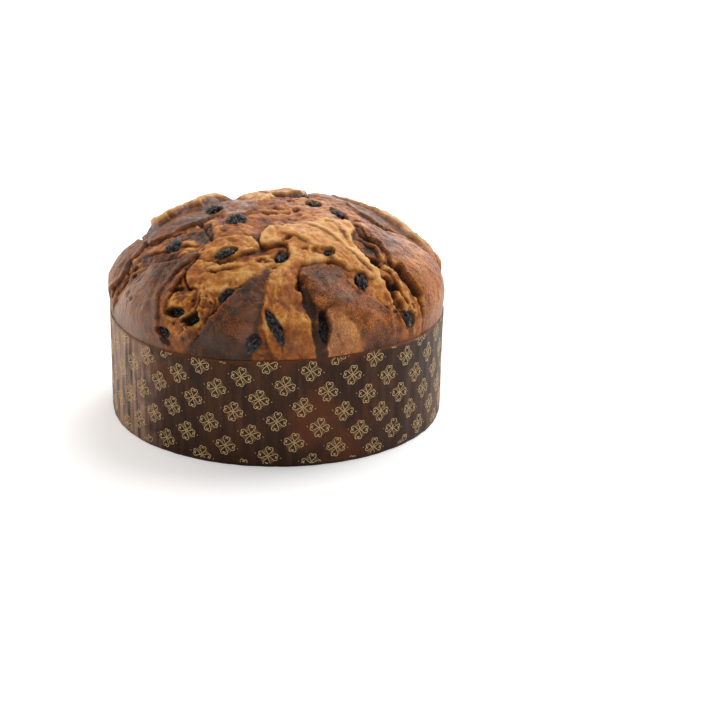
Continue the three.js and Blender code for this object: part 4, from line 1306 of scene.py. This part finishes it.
class BreadSettings(bpy.types.PropertyGroup):
    """Look of the bread's crust."""

    pale: paint("Pale crust", "Freshest torn dough", PALE)
    gold: paint("Golden crust", "Lightly baked torn dough", GOLD)
    amber: paint("Amber crust", "Baked torn dough", AMBER)
    brown: paint("Brown crust", "Lighter smooth petals", BROWN)
    dark: paint("Dark crust", "Darker smooth petals", UMBER)
    burnt: paint("Burnt crust", "Darkest edges", BURNT)
    # Painted sheen: the greyish highlight painted on smooth crust.
    painted_sheen: paint("Sheen", "Greyish sheen of smooth crust", (0.42, 0.27, 0.2))
    # Painted shade: the dark colour painted into cracks, creases, holes and deep hollows.
    gap: paint("Gap", "Depth of a crack", (0.026, 0.01, 0.005))


class RaisinSettings(bpy.types.PropertyGroup):
    """Look of the raisins."""

    wrinkle: length("Wrinkle depth", "How deep the skin's wrinkles are", 0.0016, min=0)
    skin: paint("Skin", "Colour of the skin's creases", (0.006, 0.003, 0.002))
    # Dust on the ridge crests, also standing for their painted highlights.
    dust_and_highlight: paint("Dust", "Dusty bloom on the ridges", (0.12, 0.098, 0.09))


class CaseSettings(bpy.types.PropertyGroup):
    """Look and print of the paper case."""

    paper: paint("Paper", "Glazed brown paper", (0.088, 0.034, 0.014))
    patch: paint("Patches", "Redder patches of the paper", (0.125, 0.034, 0.011))
    # Painted light: the orange-brown glow of the paper's brightly lit side.
    warm_glow: paint("Warm side", "Orange-brown side where the paper is brightest", (0.24, 0.072, 0.015))
    foot: paint("Foot", "Darker foot of the wall", (0.034, 0.014, 0.007))
    # Scorched edge of the paper, drawn lighter as painted highlight where it catches the light.
    rim: paint("Rim", "Scorched edge at the rim", (0.15, 0.05, 0.018))
    # Painted reflection: the paler band where the glaze reflects the side light.
    sheen: paint("Lit side", "Paler side where the glaze is scuffed", (0.44, 0.26, 0.18))
    ink: paint("Ink", "Gold print", (0.78, 0.56, 0.27))
    ink_dark: paint("Ink shade", "Darker gold print", (0.52, 0.34, 0.15))
    wrinkle: length("Wrinkle depth", "How far the wall's upright wrinkles reach", 0.0005, min=0)
    motif: length("Motif size", "Across one printed clover", 0.0117, min=0.001)
    line: length("Line width", "Width of the printed lines", 0.00058, min=0.0001)


class StageSettings(bpy.types.PropertyGroup):
    """Camera, lights and floor."""

    distance: length("Camera distance", "From the case's rim centre to the camera", 0.84, min=0.1)
    elevation: FloatProperty(
        name="Elevation", description="Angle the camera looks down by", default=math.radians(18),
        subtype="ANGLE", unit="ROTATION")
    sun: strength("Sky light", "Strength of the soft light from above and behind", 1.7)
    side: strength("Side lights", "Power of the soft lights at the sides", 4.0)
    fill: strength("Front light", "Power of the weak light in front", 1.5)
    air: strength("Surroundings", "Light from all around", 0.4)
    floor: paint("Floor", "Pale floor", (0.9, 0.9, 0.9))
    backdrop: paint("Backdrop", "What the camera sees behind the floor", (0.9, 0.9, 0.9))


# Operators


class BreadOperator(bpy.types.Operator):
    """Build the bread with its cracked crust"""

    bl_idname = "panettone.bread"
    bl_label = "Bread"

    def execute(self, context):
        places, faces = disc_places(CRUST_RINGS)
        crust = Crust(places, faces, [Raisin(node, *look) for node, look in zip(RAISIN_NODES, RAISINS)])
        points = crust.surface()
        around = 6 * CRUST_RINGS
        rim = np.arange(len(points) - around, len(points))
        rounds = [rim]
        for level in np.linspace(CASE_HEIGHT, BREAD_FLOOR, BREAD_SIDE_STEPS)[1:]:
            ring = points[rim] * (BREAD_TAPER, BREAD_TAPER, 0) + (0, 0, level)
            rounds.append(np.arange(len(points), len(points) + around))
            points = np.vstack([points, ring])
        points = np.vstack([points, [(0, 0, BREAD_FLOOR)]])
        for above, below in zip(rounds, rounds[1:]):
            faces += zip(above, below, np.roll(below, -1), np.roll(above, -1))
        faces += [(len(points) - 1, b, a) for a, b in zip(rounds[-1], np.roll(rounds[-1], -1))]
        faces = [tuple(map(int, face)) for face in faces]
        material = crust_material(context.scene.panettone_bread)
        piece = new_object("bread_crust", points, faces, material, ["bread"])
        below = len(points) - len(places)
        flow = np.vstack([crust.flow, np.repeat(crust.flow[rim[:1]], below, axis=0)])
        layer = piece.data.attributes.new("flow", "FLOAT_VECTOR", "POINT")
        layer.data.foreach_set("vector", np.ascontiguousarray(flow, np.float32).ravel())
        for name in ("tone", "painted_sheen", "torn", "gap"):
            values = getattr(crust, name)
            add_mask(piece, name, np.concatenate([values, np.full(below, values[rim].mean())]))
        return {"FINISHED"}


class RaisinsOperator(bpy.types.Operator):
    """Build the wrinkled raisins in the crust"""

    bl_idname = "panettone.raisins"
    bl_label = "Raisins"

    def execute(self, context):
        look = context.scene.panettone_raisins
        material = raisin_material(look)
        for number, (node, set_in) in enumerate(zip(RAISIN_NODES, RAISINS)):
            self.build(Raisin(node, *set_in), number, look, material)
        return {"FINISHED"}

    def build(self, raisin, number, look, material):
        """One raisin where its solid is."""
        ball = bmesh.new()
        bmesh.ops.create_icosphere(ball, subdivisions=RAISIN_SUBDIVISIONS, radius=1.0)
        rounds = np.array([v.co[:] for v in ball.verts])
        faces = [tuple(v.index for v in face.verts) for face in ball.faces]
        ball.free()
        size = rounds * raisin.half
        bend = fractal(size, 5, 2, 2.3 * number)[:, None]
        pulled = (size + 1.4 * bend) * (0.45, 1.0, 1.0)
        fold = np.minimum(1, 2.6 * np.abs(fractal(pulled, WRINKLES["wide"], 2, 3.7 * number)))
        small = np.minimum(1, 2.6 * np.abs(fractal(pulled, WRINKLES["fine"], 2, 1.3 * number)))
        dents = fractal(rounds, 1.0, 2, 1.9 * number)
        deep = look.wrinkle / MM
        shape = size * (1.04 + 0.36 * dents[:, None])
        out = shape / np.linalg.norm(shape, axis=1)[:, None]
        shape = shape + out * (1.2 * deep * (fold - 0.5) + 0.6 * deep * (small - 0.5))[:, None]
        points = raisin.middle + shape @ raisin.axes
        piece = new_object(f"{raisin.node}_skin", points, faces, material, [raisin.node])
        # Dust and painted highlight on the crests, fainter with painted shade on raisins set deep enough to
        # lie in shade.
        shown = 1 - 0.7 * ease(*DEEP, raisin.deeper)
        add_mask(piece, "ridge", ease(0.5, 0.95, fold) * ease(0.3, 0.8, small) * shown)


class CaseOperator(bpy.types.Operator):
    """Build the paper case with its creased wall"""

    bl_idname = "panettone.paper_case"
    bl_label = "Paper case"

    def execute(self, context):
        look = context.scene.panettone_case
        wall = Wall(look)
        turns = 2 * np.pi * np.arange(CASE_STEPS) / CASE_STEPS
        rows = [wall.points(turns, share) for share in np.linspace(0, 1, WALL_ROWS)]
        narrower = (CASE_RADIUS - EDGE_THICKNESS) / CASE_RADIUS
        inner = rows[-1] * (narrower, narrower, 1)
        inner[:, 2] -= EDGE_DROP
        lower = inner * (1, 1, 0) + (0, 0, PAPER)
        foot = rows[0] * (FOOT_SHARE, FOOT_SHARE, 0)
        rings = [foot, *rows, inner, lower]
        points = np.vstack([[(0, 0, 0)], *rings, [(0, 0, PAPER)]])
        rounds = [np.arange(1 + i * CASE_STEPS, 1 + (i + 1) * CASE_STEPS) for i in range(len(rings))]
        faces = [(0, b, a) for a, b in zip(rounds[0], np.roll(rounds[0], -1))]
        for below, above in zip(rounds, rounds[1:]):
            faces += zip(below, np.roll(below, -1), np.roll(above, -1), above)
        faces += [(len(points) - 1, a, b) for a, b in zip(rounds[-1], np.roll(rounds[-1], -1))]
        faces = [tuple(map(int, face)) for face in faces]
        piece = new_object(
            "paper_case_wall", points, faces, paper_material(look), ["paper_case"])
        self.mark(piece, points)
        return {"FINISHED"}

    def mark(self, piece, points):
        """Store where the paper is scorched at the rim, with a painted highlight, where it is dark, and
        where its painted warm glow and painted reflection lie.
        """
        height = points[:, 2]
        turns = np.arctan2(points[:, 1], points[:, 0])
        uneven = fractal(points, 9, 3, 1.1)
        # Painted light: the warm glow of the lit side, fading out towards the foot.
        warm_glow = np.abs(round_from(turns, WARM_GLOW_AT)) + 6 * uneven
        # Painted reflection band round the side where the glaze catches the light.
        lit = np.abs(round_from(turns, PAINTED_GLAZE_SHEEN["at"])) + 6 * uneven
        # Scorched rim band, also a painted highlight where the edge catches the light.
        add_mask(piece, "rim", ease(0.7, 0.1, rim_height(turns) - height + 0.4 * uneven))
        add_mask(piece, "low", 0.6 * ease(34, 4, height + 8 * uneven))
        add_mask(piece, "warm_glow", ease(20, 2, warm_glow) * ease(5, 55, height))
        add_mask(piece, "sheen", ease(PAINTED_GLAZE_SHEEN["reach"], 0.2 * PAINTED_GLAZE_SHEEN["reach"], lit))


class PrintOperator(bpy.types.Operator):
    """Print the gold clovers around the case"""

    bl_idname = "panettone.print"
    bl_label = "Clover print"

    def execute(self, context):
        look = context.scene.panettone_case
        wall = Wall(look)
        points, faces = [], []
        for stroke, width in clover_strokes(look):
            start = len(points)
            ribbon, sides = wall.ribbon(stroke, width * look.line / MM)
            points.extend(ribbon)
            faces.extend(tuple(start + i for i in side) for side in sides)
        new_object("gold_clovers", points, faces, gold_material(look), None)
        return {"FINISHED"}


class StageOperator(bpy.types.Operator):
    """Set the camera, the lights and the pale floor"""

    bl_idname = "panettone.stage"
    bl_label = "Stage"

    def execute(self, context):
        stage = context.scene.panettone_stage
        scene = context.scene
        self.camera(scene, stage)
        self.floor(scene, stage)
        self.sky(stage)
        for name, light in LIGHTS.items():
            self.light(name, stage, **light)
        self.air(scene, stage)
        scene.view_settings.view_transform = "Standard"
        return {"FINISHED"}

    def sky(self, stage):
        """A very soft light from above and a little behind."""
        data = bpy.data.lights.new("sky", "SUN")
        data.energy = stage.sun
        data.angle = math.radians(SKY_ANGLE)
        light = bpy.data.objects.new("sky", data)
        light.rotation_euler = Vector(SKY_WAY).to_track_quat("-Z", "Y").to_euler()
        bpy.context.scene.collection.objects.link(light)

    def air(self, scene, stage):
        """Dim surroundings that look pale to the camera."""
        world = bpy.data.worlds.new("studio")
        scene.world = world
        world.use_nodes = True
        tree = world.node_tree
        around = tree.nodes["Background"]
        seen = add_node(tree, "ShaderNodeBackground")
        feed_all(tree, around, Color=(1, 1, 1), Strength=stage.air)
        feed(tree, seen.inputs["Color"], stage.backdrop)
        either = add_node(tree, "ShaderNodeMixShader")
        is_seen = add_node(tree, "ShaderNodeLightPath").outputs["Is Camera Ray"]
        for socket, value in zip(either.inputs, (is_seen, around.outputs[0], seen.outputs[0])):
            feed(tree, socket, value)
        feed(tree, tree.nodes["World Output"].inputs["Surface"], either.outputs[0])

    def camera(self, scene, stage):
        """Place the camera at the photograph's angle, and frame the cake as it does."""
        target = Vector((0, 0, AIM_HEIGHT))
        lean = stage.elevation
        data = bpy.data.cameras.new("camera")
        data.sensor_width = SENSOR
        data.lens = SENSOR * FOCAL / PICTURE
        data.shift_x = (PICTURE / 2 - CENTRE[0]) / PICTURE
        data.shift_y = (CENTRE[1] - PICTURE / 2) / PICTURE
        camera = bpy.data.objects.new("camera", data)
        camera.location = target + Vector((0, -math.cos(lean), math.sin(lean))) * stage.distance
        camera.rotation_euler = (math.pi / 2 - lean, 0, 0)
        scene.collection.objects.link(camera)
        scene.camera = camera

    def floor(self, scene, stage):
        """Lay the pale floor under the case."""
        material, tree, shader = new_material("pale floor")
        is_seen = add_node(tree, "ShaderNodeLightPath").outputs["Is Camera Ray"]
        feed_all(tree, shader, Base_Color=stage.floor, Roughness=0.8, Specular_IOR_Level=0.1)
        feed_all(tree, shader, Emission_Color=(1, 1, 1), Emission_Strength=times(tree, is_seen, 0.3))
        mesh = bpy.data.meshes.new("floor")
        corners = [(FLOOR_HALF * x, FLOOR_HALF * y, 0) for x, y in ((-1, -1), (1, -1), (1, 1), (-1, 1))]
        mesh.from_pydata(corners, [], [(0, 1, 2, 3)])
        mesh.materials.append(material)
        floor = bpy.data.objects.new("floor", mesh)
        floor.location.z = CAD_BOX[0][2] - FLOOR_GAP
        scene.collection.objects.link(floor)

    def light(self, name, stage, at, aim, power, share, size, colour=(1, 1, 1)):
        """Hang a soft square light that points at a height over the middle."""
        data = bpy.data.lights.new(name, "AREA")
        data.color = colour
        data.energy = getattr(stage, power) * share
        data.size = size
        light = bpy.data.objects.new(name, data)
        light.location = at
        light.rotation_euler = (Vector((0, 0, aim)) - Vector(at)).to_track_quat("-Z", "Y").to_euler()
        bpy.context.scene.collection.objects.link(light)


class PanettonePanel(bpy.types.Panel):
    """Lists the steps that build the panettone"""

    bl_idname = "VIEW3D_PT_panettone"
    bl_label = "Panettone"
    bl_space_type = "VIEW_3D"
    bl_region_type = "UI"
    bl_category = "Panettone"

    def draw(self, context):
        for operator in OPERATORS:
            self.layout.operator(operator.bl_idname)


SETTINGS = {
    "panettone_bread": BreadSettings,
    "panettone_raisins": RaisinSettings,
    "panettone_case": CaseSettings,
    "panettone_stage": StageSettings,
}
OPERATORS = (BreadOperator, RaisinsOperator, CaseOperator, PrintOperator, StageOperator)


def register():
    for group in SETTINGS.values():
        bpy.utils.register_class(group)
    for name, group in SETTINGS.items():
        setattr(bpy.types.Scene, name, PointerProperty(type=group))
    for operator in OPERATORS:
        bpy.utils.register_class(operator)
    bpy.utils.register_class(PanettonePanel)


def unregister():
    bpy.utils.unregister_class(PanettonePanel)
    for operator in reversed(OPERATORS):
        bpy.utils.unregister_class(operator)
    for name, group in SETTINGS.items():
        delattr(bpy.types.Scene, name)
        bpy.utils.unregister_class(group)


def main():
    register()
    bpy.ops.panettone.bread()
    bpy.ops.panettone.raisins()
    bpy.ops.panettone.paper_case()
    bpy.ops.panettone.print()
    bpy.ops.panettone.stage()


if __name__ == "__main__":
    main()
